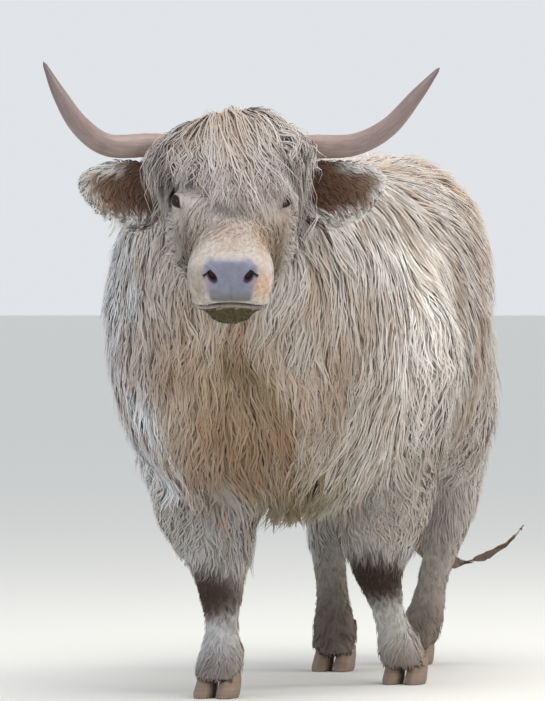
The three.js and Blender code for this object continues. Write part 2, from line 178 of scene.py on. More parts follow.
def fused_copy(name, nodes, swell=0.0):
    """One object made of copies of solids, their doubles merged."""
    copies = []
    for node in nodes:
        copy = bpy.data.objects.new(name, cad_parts[node].data.copy())
        bpy.context.scene.collection.objects.link(copy)
        only(copy)
        copy.data.materials.clear()
        bpy.ops.object.mode_set(mode="EDIT")
        bpy.ops.mesh.select_all(action="SELECT")
        bpy.ops.mesh.remove_doubles(threshold=0.00005)
        bpy.ops.object.mode_set(mode="OBJECT")
        if swell:
            put_points(copy.data, points_of(copy.data) + swell * normals_of(copy.data))
        copies.append(copy)
    for copy in copies:
        copy.select_set(True)
    bpy.context.view_layer.objects.active = copies[0]
    bpy.ops.object.join()
    copies[0].name = name
    return copies[0]


def remeshed(thing, voxel):
    only(thing)
    remesh = thing.modifiers.new("remesh", "REMESH")
    remesh.mode, remesh.voxel_size = "VOXEL", voxel
    bpy.ops.object.modifier_apply(modifier="remesh")


def ramp(values, low, high):
    """0 at low, 1 at high, smooth between."""
    share = np.clip((values - low) / (high - low), 0, 1)
    return share * share * (3 - 2 * share)


# A tree of all the solids' faces tells which part any point of the skin belongs to.
tree_points, tree_faces, face_part = [], [], []
for part, node in enumerate(SKIN_NODES):
    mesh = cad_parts[node].data
    start = len(tree_points)
    tree_points.extend(v.co.copy() for v in mesh.vertices)
    tree_faces.extend([start + v for v in face.vertices] for face in mesh.polygons)
    face_part.extend([part] * len(mesh.polygons))
solid_tree = BVHTree.FromPolygons(tree_points, tree_faces)
face_part = np.array(face_part)


def parts_at(places):
    """The number in SKIN_NODES of the solid that each place is nearest to."""
    return face_part[[solid_tree.find_nearest(place)[2] for place in places]]


skin = fused_copy("skin", BODY_NODES, swell=1.2 * MM)
remeshed(skin, BODY_VOXEL)
places, ends = points_of(skin.data), ends_of(skin.data)
part = parts_at(places)
height = places[:, 2]
coat_depth = np.full(len(places), 0.040)
for number, node in enumerate(BODY_NODES):
    here = part == number
    if node == "udder":
        coat_depth[here] = 0.006
    elif node == "tail_dock":
        coat_depth[here] = 0.013
    elif node == "tail_switch":
        coat_depth[here] = 0.003 + 0.009 * ramp(height[here], 0.24, 0.44)
    elif node.startswith("upper"):
        coat_depth[here] = 0.012 + 0.026 * ramp(height[here], 0.36, 0.72)
    elif node.startswith("lower"):
        coat_depth[here] = 0.003 + 0.005 * ramp(height[here], 0.06, 0.16) + 0.005 * ramp(height[here], 0.22, 0.36)
places = evened(places, ends, 26)
coat_depth = evened(coat_depth[:, None], ends, 8, shares=(0.5,))[:, 0]
put_points(skin.data, places)
places = places - coat_depth[:, None] * normals_of(skin.data)
put_points(skin.data, evened(places, ends, 6))

# ---- Skin: head ------------------------------------------------------------------------------------------
# A cow's skull under thin short-haired hide, with a broad bare nose pad, soft lips and heavy lids. A fine ball
# is drawn out over sections down the face, and each feature is then pushed in or out of it.

POLL = np.array([-7.465, -649.705, 1095.0]) * MM
TURN, PITCH = math.radians(15), math.radians(28)
LEVEL = np.array([[math.cos(TURN), -math.sin(TURN), 0], [math.sin(TURN), math.cos(TURN), 0], [0, 0, 1]])
NOD = np.array([[1, 0, 0], [0, math.cos(PITCH), -math.sin(PITCH)], [0, math.sin(PITCH), math.cos(PITCH)]])
EYE = np.array([99.0, -145.0, -8.0])
EYE_RADIUS = 18.0
NOSE = 415.0


def from_skull(places):
    """Skull places in millimetres, down the face along -Y and out of the brow along +Z, as the cow's metres."""
    return POLL + places @ (LEVEL @ NOD).T * MM


def to_skull(places):
    return (places - POLL) @ (LEVEL @ NOD) / MM


def from_poll(places):
    """The same for the poll's level frame."""
    return POLL + places @ LEVEL.T * MM


def through(rows, count):
    """A smooth curve through rows of numbers, at count even shares of it."""
    rows = np.array(rows, float)
    padded = np.vstack([2 * rows[0] - rows[1], rows, 2 * rows[-1] - rows[-2]])
    share = np.linspace(0, len(rows) - 1, count)
    step = np.minimum(share.astype(int), len(rows) - 2)
    t = (share - step)[:, None]
    a, b, c, d = (padded[step + k] for k in range(4))
    return 0.5 * (2 * b + (c - a) * t + (2 * a - 5 * b + 4 * c - d) * t * t + (3 * b - a - 3 * c + d) * t**3)


# down the face, middle's depth, half sizes across, over and under
HEAD_ROWS = (
    (-42, 60, 2, 2, 2), (-40, 60, 40, 40, 40), (-30, 60, 70, 66, 66), (-12, 60, 94, 88, 86), (30, 62, 113, 99, 100),
    (90, 64, 122, 95, 112), (145, 64, 115, 88, 116), (200, 60, 98, 77, 117), (255, 56, 84, 66, 109),
    (305, 52, 79, 58, 105), (350, 50, 83, 53, 107), (385, 50, 82, 50, 103), (403, 50, 74, 45, 90),
    (412, 50, 62, 36, 66), (416, 50, 44, 24, 46), (417.5, 50, 24, 13, 25), (418, 50, 2, 1.5, 2),
)
RINGS, SPOKES = 172, 168

only(skin)
bpy.ops.object.select_all(action="DESELECT")
bpy.ops.mesh.primitive_uv_sphere_add(segments=SPOKES, ring_count=RINGS, radius=1, location=(0, 0, 0))
head = bpy.context.object
ball = points_of(head.data)
profile = through(HEAD_ROWS, 1200)
lengths = np.concatenate([[0], np.cumsum(np.linalg.norm(np.diff(profile[:, [0, 2]], axis=0), axis=1))])
along = np.arccos(np.clip(ball[:, 2], -1, 1)) / math.pi * lengths[-1]
down, sunk, wide, over, under = (np.interp(along, lengths, column) for column in profile.T)
around = np.arctan2(ball[:, 1], ball[:, 0])
SQUARE = 2 / 2.3
across = np.sign(np.cos(around)) * np.abs(np.cos(around)) ** SQUARE
tall = np.sign(np.sin(around)) * np.abs(np.sin(around)) ** SQUARE
shape = np.stack([wide * across, -down, -sunk + np.where(tall > 0, over, under) * tall], 1)
put_points(head.data, shape)

# The eyes, nostrils and mouth need finer faces than the rest.
bpy.ops.object.mode_set(mode="EDIT")
bpy.ops.mesh.select_mode(type="FACE")
bpy.ops.mesh.select_all(action="SELECT")
bpy.ops.mesh.normals_make_consistent(inside=False)
bpy.ops.mesh.select_all(action="DESELECT")
bpy.ops.object.mode_set(mode="OBJECT")


def pick_faces(mesh, test):
    """Selects the faces whose middles pass a test."""
    middles = np.empty(len(mesh.polygons) * 3)
    mesh.polygons.foreach_get("center", middles)
    mesh.polygons.foreach_set("select", test(middles.reshape(-1, 3)))


def fine_patch(middles):
    at_eye = np.linalg.norm(np.abs(middles) * (1, 0, 0) + middles * (0, 1, 1) - (EYE + (4, 0, 4)), axis=1) < 30
    at_mouth = (middles[:, 1] < -372) & (middles[:, 2] > -116) & (middles[:, 2] < -4)
    return at_eye | at_mouth


def lid_patch(middles):
    return np.linalg.norm(np.abs(middles) * (1, 0, 0) + middles * (0, 1, 1) - EYE, axis=1) < 25


for patch in (fine_patch, lid_patch):
    bpy.ops.object.mode_set(mode="EDIT")
    bpy.ops.mesh.select_all(action="DESELECT")
    bpy.ops.object.mode_set(mode="OBJECT")
    pick_faces(head.data, patch)
    bpy.ops.object.mode_set(mode="EDIT")
    bpy.ops.mesh.subdivide(number_cuts=1)
    bpy.ops.object.mode_set(mode="OBJECT")
shape = points_of(head.data)


def push(places, ways, middle, reach, far):
    """Moves places by far along their ways, fading out over reach, on both sides of the head."""
    off = (np.abs(places) * (1, 0, 0) + places * (0, 1, 1) - middle) / reach
    return places + far * ways * np.exp(-np.sum(off**2, axis=1))[:, None]


# The lower jaw is narrower than the upper at the lips.
x, y, z = shape.T
below_mouth = -95 - 0.0030 * x**2 - z
jaw_half = np.interp(below_mouth, (2, 12, 26, 44, 56), (80, 52, 42, 38, 32))
narrowed = x / (1 + (np.abs(x) / jaw_half) ** 5) ** 0.2
shape[:, 0] = x + (narrowed - x) * ramp(below_mouth, 1, 8) * ramp(-y, 290, 365)

# middle, reach and how far out
FEATURES = (
    ((97, -147, -4), (36, 38, 32), 15.0),  # eye socket
    ((88, -108, 16), (30, 24, 22), 6.0),  # brow over the eye
    ((0, -60, 40), (60, 50, 30), 4.0),  # forehead
    ((104, -62, -6), (20, 30, 24), -5.0),  # temple
    ((100, -168, -40), (22, 28, 18), 5.0),  # cheekbone
    ((86, -205, -30), (24, 30, 14), -3.0),
    ((66, -240, -6), (16, 52, 16), -5.5),  # hollow beside the nose bone
    ((0, -300, 8), (26, 60, 20), 2.0),  # nose bone
    ((100, -110, -130), (30, 50, 34), 5.0),  # jaw muscle
    ((76, -270, -88), (26, 30, 26), -4.0),
    ((62, -352, -66), (24, 26, 28), 6.0),  # upper lip
    ((40, -398, -118), (30, 24, 18), 3.5),  # lower lip
    ((0, -360, -150), (34, 26, 20), 4.0),  # chin
    ((0, -372, 4), (46, 7, 22), -3.2),  # crease above the nose pad
)
for middle, reach, far in FEATURES:
    shape = push(shape, normals_of(head.data), middle, reach, far)
put_points(head.data, shape)

# The crown of the poll rises in a broad mound between the horns.
x, y, z = shape.T
mound_top = 122 * np.clip(1 - (np.abs(x - 4) / 136) ** 2, 0, 1) ** 0.8
mound = np.exp(-(((y - 6) / np.where(y < 6, 74, 44)) ** 2)) * ramp(z, -72, 12)
shape[:, 2] = z + mound * np.maximum(mound_top - z, 0)
put_points(head.data, shape)

# The pad stands a little proud, parted by a groove down to the lip.
ways = normals_of(head.data)
x, y, z = shape.T
front = ramp(-y, 376, 394)
pad_half = np.interp(z, (-92, -84, -62, -36, -16, -4), (36, 40, 45, 53, 51, 36))
pad = front * ramp(pad_half - np.abs(x), -7, 5) * ramp(z, -93, -84) * ramp(-z, 0, 9)
pad_foot = front * ramp(-z, 58, 90) * ramp(44 - np.abs(x), -8, 8)
shape = shape + (2.4 * pad)[:, None] * ways
philtrum = front * np.exp(-((x / 2.4) ** 2)) * ramp(-z, 44, 56) * ramp(z, -92, -86)
shape = shape - (1.8 * philtrum)[:, None] * ways

# The mouth: a closed line, lowest at its corners.
x, y, z = shape.T
mouth_at = -95 - 0.0030 * x**2 - 0.10 * np.maximum(NOSE - 10 + y, 0)
z_mouth = z.copy()
mouth = np.exp(-(((z - mouth_at) / 2.6) ** 2)) * ramp(-y, 318, 336)
lips = np.exp(-(((np.abs(z - mouth_at) - 7) / 5.0) ** 2)) * ramp(-y, 325, 350)
shape = shape + (2.0 * lips - 10.0 * mouth)[:, None] * ways

# The nostrils: round, with a slit that curls up and outwards.
x, y, z = shape.T
side_x = np.abs(x)
lean_x, lean_z = side_x - 36 - 0.35 * (z + 35), z + 35
round_part = np.hypot(lean_x / 8.8, lean_z / 12.5)
curl_x = np.clip(side_x, 40, 51)
curl_part = np.hypot((side_x - curl_x) / 3.2, (z + 27 + 0.9 * (curl_x - 44)) / 3.2)
nostril_away = np.minimum(round_part, curl_part)
hole = front * (1 - ramp(nostril_away, 0.72, 1.12))
rim = front * np.exp(-(((nostril_away - 1.5) / 0.45) ** 2))
shape[:, 1] += 19 * hole
shape = shape + (2.2 * rim)[:, None] * ways

# The lids: the eye shows through an almond, with a crease above and soft folds below.
GAZE = unit(np.array([0.70, -0.59, 0.40]))
SLIT = unit(np.cross(np.cross(GAZE, (0.0, 1.0, 0.22)), GAZE))
BROWWARD = np.cross(GAZE, SLIT)
BROWWARD = BROWWARD * np.sign(BROWWARD[2])
ALMOND = {"half_length": 16.0, "upper": 9.2, "lower": 8.0}


def lid_places(places, side):
    """Place on the eyeball along and up from the almond's middle, and the distance from the eye's centre."""
    off = places * (side, 1, 1) - EYE
    away = np.linalg.norm(off, axis=1)
    ahead = off @ GAZE
    return EYE_RADIUS * np.arctan2(off @ SLIT, ahead), EYE_RADIUS * np.arctan2(off @ BROWWARD, ahead), away, ahead


eye_opening = np.zeros(len(shape))
lid_edge, lid_skin = np.zeros(len(shape)), np.zeros(len(shape))
for side in (1, -1):
    along_slit, up, away, ahead = lid_places(shape, side)
    near = (away < 48) & (ahead > -4)
    half = np.maximum(1 - (along_slit / ALMOND["half_length"]) ** 2, 0)
    edge_up = np.where(up > 0, ALMOND["upper"], ALMOND["lower"]) * half
    outside = np.where(half > 0, np.abs(up) - edge_up, np.hypot(up, np.abs(along_slit) - ALMOND["half_length"]))
    spread = np.hypot(along_slit / 1.15, up)
    lid = EYE_RADIUS + 3.4 - 1.5 * np.exp(-(((up - 14) / 2.2) ** 2)) - 1.0 * np.exp(-(((up + 14) / 2.4) ** 2))
    blend = (1 - ramp(spread, 19, 31)) * near
    lid = lid + 0.9 * np.exp(-((outside / 2.2) ** 2))
    target = EYE_RADIUS - 6 + (lid - EYE_RADIUS + 6) * ramp(outside, -2.8, 0.3)
    moved = away + (target - away) * blend
    moved = np.where((outside > 0.5) & (away < 40) & (ahead > -14), np.maximum(moved, EYE_RADIUS + 1.6), moved)
    shape = shape * (side, 1, 1)
    shape = EYE + (shape - EYE) * (moved / np.maximum(away, 1e-6))[:, None]
    shape = shape * (side, 1, 1)
    eye_opening = np.maximum(eye_opening, (outside < 0.2) * near)
    lid_edge = np.maximum(lid_edge, np.exp(-((np.maximum(outside, 0) / 2.2) ** 2)) * near * blend)
    lid_skin = np.maximum(lid_skin, (1 - ramp(outside, 4, 9)) * near)
put_points(head.data, shape)
bare = np.maximum.reduce([pad, 0.9 * mouth * ramp(-y, 340, 372), front * np.exp(-((nostril_away / 1.5) ** 2))])
# Dark red-brown is painted inside the nostrils and along the closed mouth as shade in these recesses.
inside_hole = np.clip(np.maximum(hole, 0.9 * np.exp(-(((z_mouth - mouth_at) / 2.6) ** 2)) * ramp(-shape[:, 1], 326, 342)), 0, 1)


def put_values(mesh, name, values):
    layer = mesh.attributes.new(name, "FLOAT", "POINT")
    layer.data.foreach_set("value", np.asarray(values, np.float32))


# Lighter pink at the outer sides of the nostrils, painted as a highlight.
nostril_highlight = 0.6 * front * np.exp(-(((np.abs(shape[:, 0]) - 48) / 9) ** 2) - ((shape[:, 2] + 46) / 16) ** 2)
for layer, values in (("bare", bare), ("hole", inside_hole), ("lid", lid_edge), ("hairless", np.maximum(bare, lid_skin)),
                      ("pad_foot", pad_foot), ("nostril_highlight", nostril_highlight)):
    put_values(head.data, layer, values)
put_points(head.data, from_skull(shape))

# ---- Skin: ears ------------------------------------------------------------------------------------------
# Thin gristle leaves under the hide, cupped to the front and hanging a little. Each is a ball drawn flat and
# then bent round its long axis.

# out from the poll, up, back, half height, cupping
EAR_ROWS = (
    (84, -32, 20, 2), (92, -33, 20, 18), (112, -38, 19, 32), (150, -48, 16, 52), (198, -50, 11, 58),
    (246, -45, 4, 50), (278, -40, 0, 35), (296, -36, -2, 18), (303, -34, -2, 2),
)
EAR_THICK = 4.5
ears = []
for side, name in ((1, "left"), (-1, "right")):
    bpy.ops.object.select_all(action="DESELECT")
    bpy.ops.mesh.primitive_uv_sphere_add(segments=64, ring_count=64, radius=1, location=(0, 0, 0))
    ear = bpy.context.object
    ball = points_of(ear.data)
    rows = through(EAR_ROWS, 400)
    share = np.arccos(np.clip(ball[:, 2], -1, 1)) / math.pi
    out, up, back, tall = (np.interp(share * 399, np.arange(400), column) for column in rows.T)
    flat = unit(ball[:, :2])
    rise = flat[:, 0]
    thick = EAR_THICK * (1 + 1.6 * ramp(-share, -0.3, 0)) * np.minimum(tall / 10, 1)
    cup = 0.62 * tall * (rise**2 - 0.5)
    places = np.stack([side * out, back + 10 - cup * 0.9 + thick * flat[:, 1], up + tall * rise], 1)
    put_points(ear.data, from_poll(places))
    bpy.ops.object.mode_set(mode="EDIT")
    bpy.ops.mesh.select_all(action="SELECT")
    bpy.ops.mesh.normals_make_consistent(inside=False)
    bpy.ops.object.mode_set(mode="OBJECT")
    ears.append(ear)

for grown in (head, *ears):
    only(skin)
    union = skin.modifiers.new("union", "BOOLEAN")
    union.operation, union.object, union.solver = "UNION", grown, "MANIFOLD"
    bpy.ops.object.modifier_apply(modifier="union")
    bpy.data.objects.remove(grown)

# ---- Markings --------------------------------------------------------------------------------------------
# A white-dun coat: cream, browner on the chest, ears and knees, and stained by mud and grass below. Among the patches,
# painted shade darkens the face, the cheeks beside the nose, the forearms and the hind legs, and tans the hair where it
# parts. Painted light puts a cool sky tint on her right shoulder and sunlight on her left shoulder's crest and the left
# side of the muzzle. Skin and coat both take their colour at a place from these soft patches.

CREAM = "#cfcbc7"
# middle in metres, reach, colour and how strongly it covers what is under it
PATCHES = (
    ((0.10, 0.78, 0.95), (0.30, 0.30, 0.40), "#cbbcaf", 0.75),  # rump and thighs
    ((0.20, 0.25, 0.75), (0.20, 0.40, 0.34), "#b9b2ae", 0.75),  # left flank
    # Painted cool skylight on her right shoulder.
    ((-0.33, -0.30, 0.85), (0.13, 0.50, 0.45), "#d6dbe2", 0.85),  # her right shoulder
    ((-0.30, -0.50, 0.70), (0.10, 0.20, 0.30), "#e0e4ea", 0.8),
    # Painted highlight along the crest of her left shoulder.
    ((0.26, -0.16, 0.90), (0.11, 0.16, 0.34), "#f4f2ef", 0.95),  # crest of her left shoulder
    ((-0.05, -0.60, 0.70), (0.20, 0.20, 0.24), "#ad9274", 0.8),  # breast
    ((0.00, -0.58, 0.54), (0.20, 0.22, 0.15), "#93795c", 0.85),
    ((-0.01, -0.64, 0.76), (0.05, 0.16, 0.07), "#6f663e", 0.7),  # slobber under the chin
    ((0.03, -0.50, 0.43), (0.18, 0.28, 0.07), "#756745", 0.85),  # stained brisket
    ((0.10, -0.45, 0.47), (0.09, 0.25, 0.12), "#6d6138", 0.85),
    ((-0.05, 0.20, 0.40), (0.25, 0.45, 0.06), "#918468", 0.7),  # belly
    ((0.22, 0.20, 0.52), (0.20, 0.34, 0.14), "#a3988c", 0.75),
    ((0.16, -0.42, 0.72), (0.12, 0.16, 0.18), "#b3a79d", 0.7),  # where the shoulder meets the neck
    # Painted shade on the forearms.
    ((-0.14, -0.33, 0.36), (0.13, 0.17, 0.11), "#a8a6a3", 0.75),  # forearms
    ((0.13, 0.05, 0.36), (0.13, 0.17, 0.11), "#b3b0aa", 0.75),
    ((-0.150, -0.41, 0.212), (0.10, 0.15, 0.062), "#36261d", 1.0),  # knees
    ((-0.150, -0.41, 0.212), (0.10, 0.15, 0.056), "#36261d", 1.0),
    ((0.114, 0.02, 0.226), (0.10, 0.15, 0.062), "#33241b", 1.0),
    ((0.114, 0.02, 0.226), (0.10, 0.15, 0.054), "#33241b", 1.0),
    ((-0.12, -0.40, 0.11), (0.10, 0.14, 0.045), "#b3b3b7", 0.8),  # fore cannons
    ((0.16, 0.09, 0.13), (0.10, 0.14, 0.05), "#b4b4ad", 0.8),
    ((-0.10, -0.42, 0.04), (0.10, 0.14, 0.06), "#6a5f58", 0.9),  # feet
    ((0.17, 0.11, 0.04), (0.10, 0.14, 0.06), "#75695f", 0.9),
    # Painted shade over the hind legs, darker towards the ground.
    ((-0.11, 0.53, 0.15), (0.13, 0.22, 0.30), "#6f6963", 0.9),  # hind legs
    ((-0.11, 0.53, 0.06), (0.13, 0.22, 0.12), "#544a43", 0.8),
    ((0.05, 0.80, 0.15), (0.13, 0.20, 0.28), "#958d84", 0.85),
    ((0.05, 0.80, 0.05), (0.13, 0.20, 0.10), "#6d6259", 0.8),
    ((-0.04, 0.95, 0.45), (0.12, 0.12, 0.24), "#a29280", 0.8),  # tail switch
    ((0.17, 0.98, 0.26), (0.22, 0.07, 0.12), "#66503f", 0.95),
)
# The head's, in the skull's millimetres.
HEAD_PATCHES = (
    # Painted shade over the whole face.
    ((0, -270, -40), (130, 190, 130), "#a89d94", 0.92),  # face
    ((0, -50, 60), (170, 100, 110), "#bab3b0", 0.85),  # forelock
    ((0, -72, 50), (120, 46, 60), "#9c9593", 0.8),
    ((0, -215, 20), (70, 80, 50), "#a39b98", 0.85),
    ((0, -310, 0), (30, 60, 40), "#a8948a", 0.7),  # nose bone
    # Painted shade on the cheeks.
    ((88, -235, -60), (36, 90, 60), "#7d6f58", 0.85),  # cheeks
    ((-88, -235, -60), (36, 90, 60), "#7b7366", 0.85),
    ((90, -166, -30), (26, 26, 20), "#a18e80", 0.7),  # under the eyes
    ((-90, -166, -30), (26, 26, 20), "#9d9187", 0.7),
    # Painted sunlight on the left side of the muzzle.
    ((62, -394, -60), (18, 32, 34), "#dcb69a", 0.9),  # sides of the muzzle
    ((-64, -385, -60), (20, 40, 46), "#a3917f", 0.8),
    # Painted shade beside the nose bone and towards her left corner of the mouth.
    ((60, -345, -70), (30, 30, 40), "#a5866a", 0.5),
    ((58, -290, -26), (20, 80, 34), "#a5866a", 0.65),
    ((-60, -300, -40), (22, 70, 34), "#8c8068", 0.6),
    ((0, -300, -150), (60, 60, 40), "#6f6448", 0.8),
)
LOWER_LIP = ((0, -406, -100), (34, 20, 4.5), "#8c8278", 0.7)
# Along the ears from the head, in the poll's millimetres.
EAR_BANDS = ((90, "#42322b"), (130, "#543e33"), (180, "#6b5042"), (232, "#7d6151"), (258, "#957d6c"), (278, "#dad6d2"))


def blended(colours, places, patches, scale=1.0):
    for middle, reach, code, strength in patches:
        off = (places - np.array(middle)) / (np.array(reach) * scale)
        cover = strength * np.exp(-np.sum(off**2, axis=1) ** 1.5)
        colours = colours + cover[:, None] * (np.array(linear(code)) - colours)
    return colours


def markings(places):
    """The coat's colour at each place."""
    colours = np.tile(linear(CREAM), (len(places), 1))
    colours = blended(colours, places, PATCHES)
    in_skull = to_skull(places)
    colours = blended(colours, in_skull, HEAD_PATCHES)
    x, y, z = in_skull.T
    grassy = 0.96 * ramp(-95 - 0.003 * x**2 - z, 1, 10) * ramp(-y, 270, 340) * ramp(z, -200, -170) * ramp(-np.abs(x), -80, -55)
    colours = colours + grassy[:, None] * (np.array(linear("#3f3714")) - colours)
    return blended(colours, in_skull, (LOWER_LIP,))


def ear_markings(places):
    """The ears' colour: dark at the head, rusty further out, and cream at the rim and under it."""
    level = (places - POLL) @ LEVEL / MM
    out = np.abs(level[:, 0])
    steps = np.array([step for step, _ in EAR_BANDS], float)
    codes = np.array([linear(code) for _, code in EAR_BANDS])
    inner = np.stack([np.interp(out, steps, column) for column in codes.T], 1)
    rim = np.maximum(ramp(-(level[:, 2] + 46), 22, 38) * ramp(out, 130, 180), ramp(level[:, 2] + 46, 30, 44) * ramp(out, 190, 240))
    return inner + rim[:, None] * (np.array(linear("#e6e5e3")) - inner)


def put_colours(mesh, colours):
    layer = mesh.attributes.new("marking", "FLOAT_COLOR", "POINT")
    layer.data.foreach_set("color", np.hstack([colours, np.ones((len(colours), 1))]).astype(np.float32).ravel())


places = points_of(skin.data)
skin_part = parts_at(places)
in_skull = to_skull(places)
level = (places - POLL) @ LEVEL / MM
on_ear = ramp(np.abs(level[:, 0]), 92, 112) * (np.abs(level[:, 2] + 50) < 75) * (np.abs(level[:, 1] - 10) < 62)
colours = markings(places)
colours = colours + on_ear[:, None] * (ear_markings(places) - colours)
put_colours(skin.data, colours)

# Hide under short hair looks soft and finely streaked down the lie; the bare pad is damp and pebbled.
short_haired_hide, tree, output = new_material("short-haired hide")
marking = add_node(tree, "ShaderNodeAttribute", attribute_name="marking")
bare_share = add_node(tree, "ShaderNodeAttribute", attribute_name="bare")
hole_share = add_node(tree, "ShaderNodeAttribute", attribute_name="hole")
lid_share = add_node(tree, "ShaderNodeAttribute", attribute_name="lid")
own = add_node(tree, "ShaderNodeTexCoord")
combed_place = add_node(tree, "ShaderNodeMapping", {"Vector": own.outputs["Object"], "Scale": (420, 420, 60)})
hairs = add_node(tree, "ShaderNodeTexNoise", {"Vector": combed_place.outputs["Vector"], "Scale": 1.0, "Detail": 3.0})
pebbles = add_node(tree, "ShaderNodeTexVoronoi", {"Vector": own.outputs["Object"], "Scale": 360.0})
streak = add_node(tree, "ShaderNodeMapRange", {"Value": hairs.outputs["Fac"], "From Min": 0.3, "From Max": 0.7,
                                               "To Min": 0.84, "To Max": 1.06})
streaked = add_node(tree, "ShaderNodeMix", {"Factor": 1.0, "A": marking.outputs["Color"], "B": streak.outputs["Result"]},
                    data_type="RGBA", blend_type="MULTIPLY")
mottled = add_node(tree, "ShaderNodeTexNoise", {"Vector": own.outputs["Object"], "Scale": 60.0, "Detail": 4.0})
tuft_place = add_node(tree, "ShaderNodeMapping", {"Vector": own.outputs["Object"], "Scale": (170, 60, 45)})
tufted = add_node(tree, "ShaderNodeTexNoise", {"Vector": tuft_place.outputs["Vector"], "Scale": 1.0, "Detail": 2.0})
tuft_light = add_node(tree, "ShaderNodeMapRange", {"Value": tufted.outputs["Fac"], "From Min": 0.35, "From Max": 0.65,
                                                   "To Min": 0.84, "To Max": 1.06})
hide_tone = add_node(tree, "ShaderNodeMix", {"Factor": 1.0, "A": streaked.outputs["Result"],
                                             "B": tuft_light.outputs["Result"]}, data_type="RGBA",
                     blend_type="MULTIPLY")
pad_colour = add_node(tree, "ShaderNodeMix", {"Factor": mottled.outputs["Fac"], "A": (*linear("#656675"), 1),
                                              "B": (*linear("#8b8ca0"), 1)}, data_type="RGBA")
foot_share = add_node(tree, "ShaderNodeAttribute", attribute_name="pad_foot")
# Painted highlight: lighter pink at the outer sides of the nostrils.
nostril_highlight_share = add_node(tree, "ShaderNodeAttribute", attribute_name="nostril_highlight")
pad_low = add_node(tree, "ShaderNodeMix", {"Factor": foot_share.outputs["Fac"], "A": pad_colour.outputs["Result"],
                                           "B": (*linear("#63625d"), 1)}, data_type="RGBA")
pad_highlighted = add_node(tree, "ShaderNodeMix", {"Factor": nostril_highlight_share.outputs["Fac"], "A": pad_low.outputs["Result"],
                                               "B": (*linear("#b19390"), 1)}, data_type="RGBA")
with_lids = add_node(tree, "ShaderNodeMix", {"Factor": lid_share.outputs["Fac"], "A": hide_tone.outputs["Result"],
                                             "B": (*linear("#3d2a25"), 1)}, data_type="RGBA")
with_bare = add_node(tree, "ShaderNodeMix", {"Factor": bare_share.outputs["Fac"], "A": with_lids.outputs["Result"],
                                             "B": pad_highlighted.outputs["Result"]}, data_type="RGBA")
# Painted shade inside the nostrils and along the mouth.
with_holes = add_node(tree, "ShaderNodeMix", {"Factor": hole_share.outputs["Fac"], "A": with_bare.outputs["Result"],
                                              "B": (*linear("#4a282a"), 1)}, data_type="RGBA")
gloss = add_node(tree, "ShaderNodeMapRange", {"Value": bare_share.outputs["Fac"], "To Min": 0.85, "To Max": 0.34})
surface = add_node(tree, "ShaderNodeMix", {"Factor": bare_share.outputs["Fac"], "A": hairs.outputs["Fac"],
                                           "B": pebbles.outputs["Distance"]})
relief = add_node(tree, "ShaderNodeBump", {"Height": surface.outputs["Result"], "Strength": 0.5, "Distance": 0.0012})
hide = add_node(tree, "ShaderNodeBsdfPrincipled", {"Base Color": with_holes.outputs["Result"],
                                                   "Roughness": gloss.outputs["Result"], "IOR": 1.4,
                                                   "Normal": relief.outputs["Normal"]})
tree.links.new(hide.outputs["BSDF"], output.inputs["Surface"])
skin.data.materials.clear()
skin.data.materials.append(short_haired_hide)
only(skin)
bpy.ops.object.shade_smooth()
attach(skin, "root")
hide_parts(*SKIN_NODES)

# ---- Eyes ------------------------------------------------------------------------------------------------
# A dark brown iris with a level, blunt-ended pupil behind a clear bulging cornea, and a little dull white at
# the corners. Wet and very smooth. Each eyeball sits in its socket behind the lids.

wet_eye, tree, output = new_material("wet eye")
gaze = add_node(tree, "ShaderNodeAttribute", attribute_name="gaze")
split = add_node(tree, "ShaderNodeSeparateXYZ", {"Vector": gaze.outputs["Vector"]})
flat_gaze = add_node(tree, "ShaderNodeCombineXYZ", {"X": split.outputs["X"], "Y": split.outputs["Y"], "Z": 0.0})
from_middle = add_node(tree, "ShaderNodeVectorMath", {0: flat_gaze.outputs["Vector"]}, operation="LENGTH")
pupil_shape = add_node(tree, "ShaderNodeVectorMath", {0: flat_gaze.outputs["Vector"], 1: (0.55, 1.35, 1.0)},
                       operation="MULTIPLY")
from_pupil = add_node(tree, "ShaderNodeVectorMath", {0: pupil_shape.outputs["Vector"]}, operation="LENGTH")
fibres = add_node(tree, "ShaderNodeTexNoise", {"Vector": gaze.outputs["Vector"], "Scale": 22.0, "Detail": 4.0})
iris = add_node(tree, "ShaderNodeMix", {"Factor": fibres.outputs["Fac"], "A": (*linear("#120906"), 1),
                                        "B": (*linear("#2c180e"), 1)}, data_type="RGBA")
pupil_edge = add_node(tree, "ShaderNodeMapRange", {"Value": from_pupil.outputs["Value"], "From Min": 0.26,
                                                   "From Max": 0.30})
with_pupil = add_node(tree, "ShaderNodeMix", {"Factor": pupil_edge.outputs["Result"], "A": (*linear("#05060a"), 1),
                                              "B": iris.outputs["Result"]}, data_type="RGBA")
white_edge = add_node(tree, "ShaderNodeMapRange", {"Value": from_middle.outputs["Value"], "From Min": 0.985,
                                                   "From Max": 1.0})
with_white = add_node(tree, "ShaderNodeMix", {"Factor": white_edge.outputs["Result"], "A": with_pupil.outputs["Result"],
                                              "B": (*linear("#4f403a"), 1)}, data_type="RGBA")
wet = add_node(tree, "ShaderNodeBsdfPrincipled", {"Base Color": with_white.outputs["Result"], "Roughness": 0.06,
                                                  "IOR": 1.34, "Specular IOR Level": 0.4,
                                                  "Coat Weight": 0.15, "Coat Roughness": 0.03})
tree.links.new(wet.outputs["BSDF"], output.inputs["Surface"])

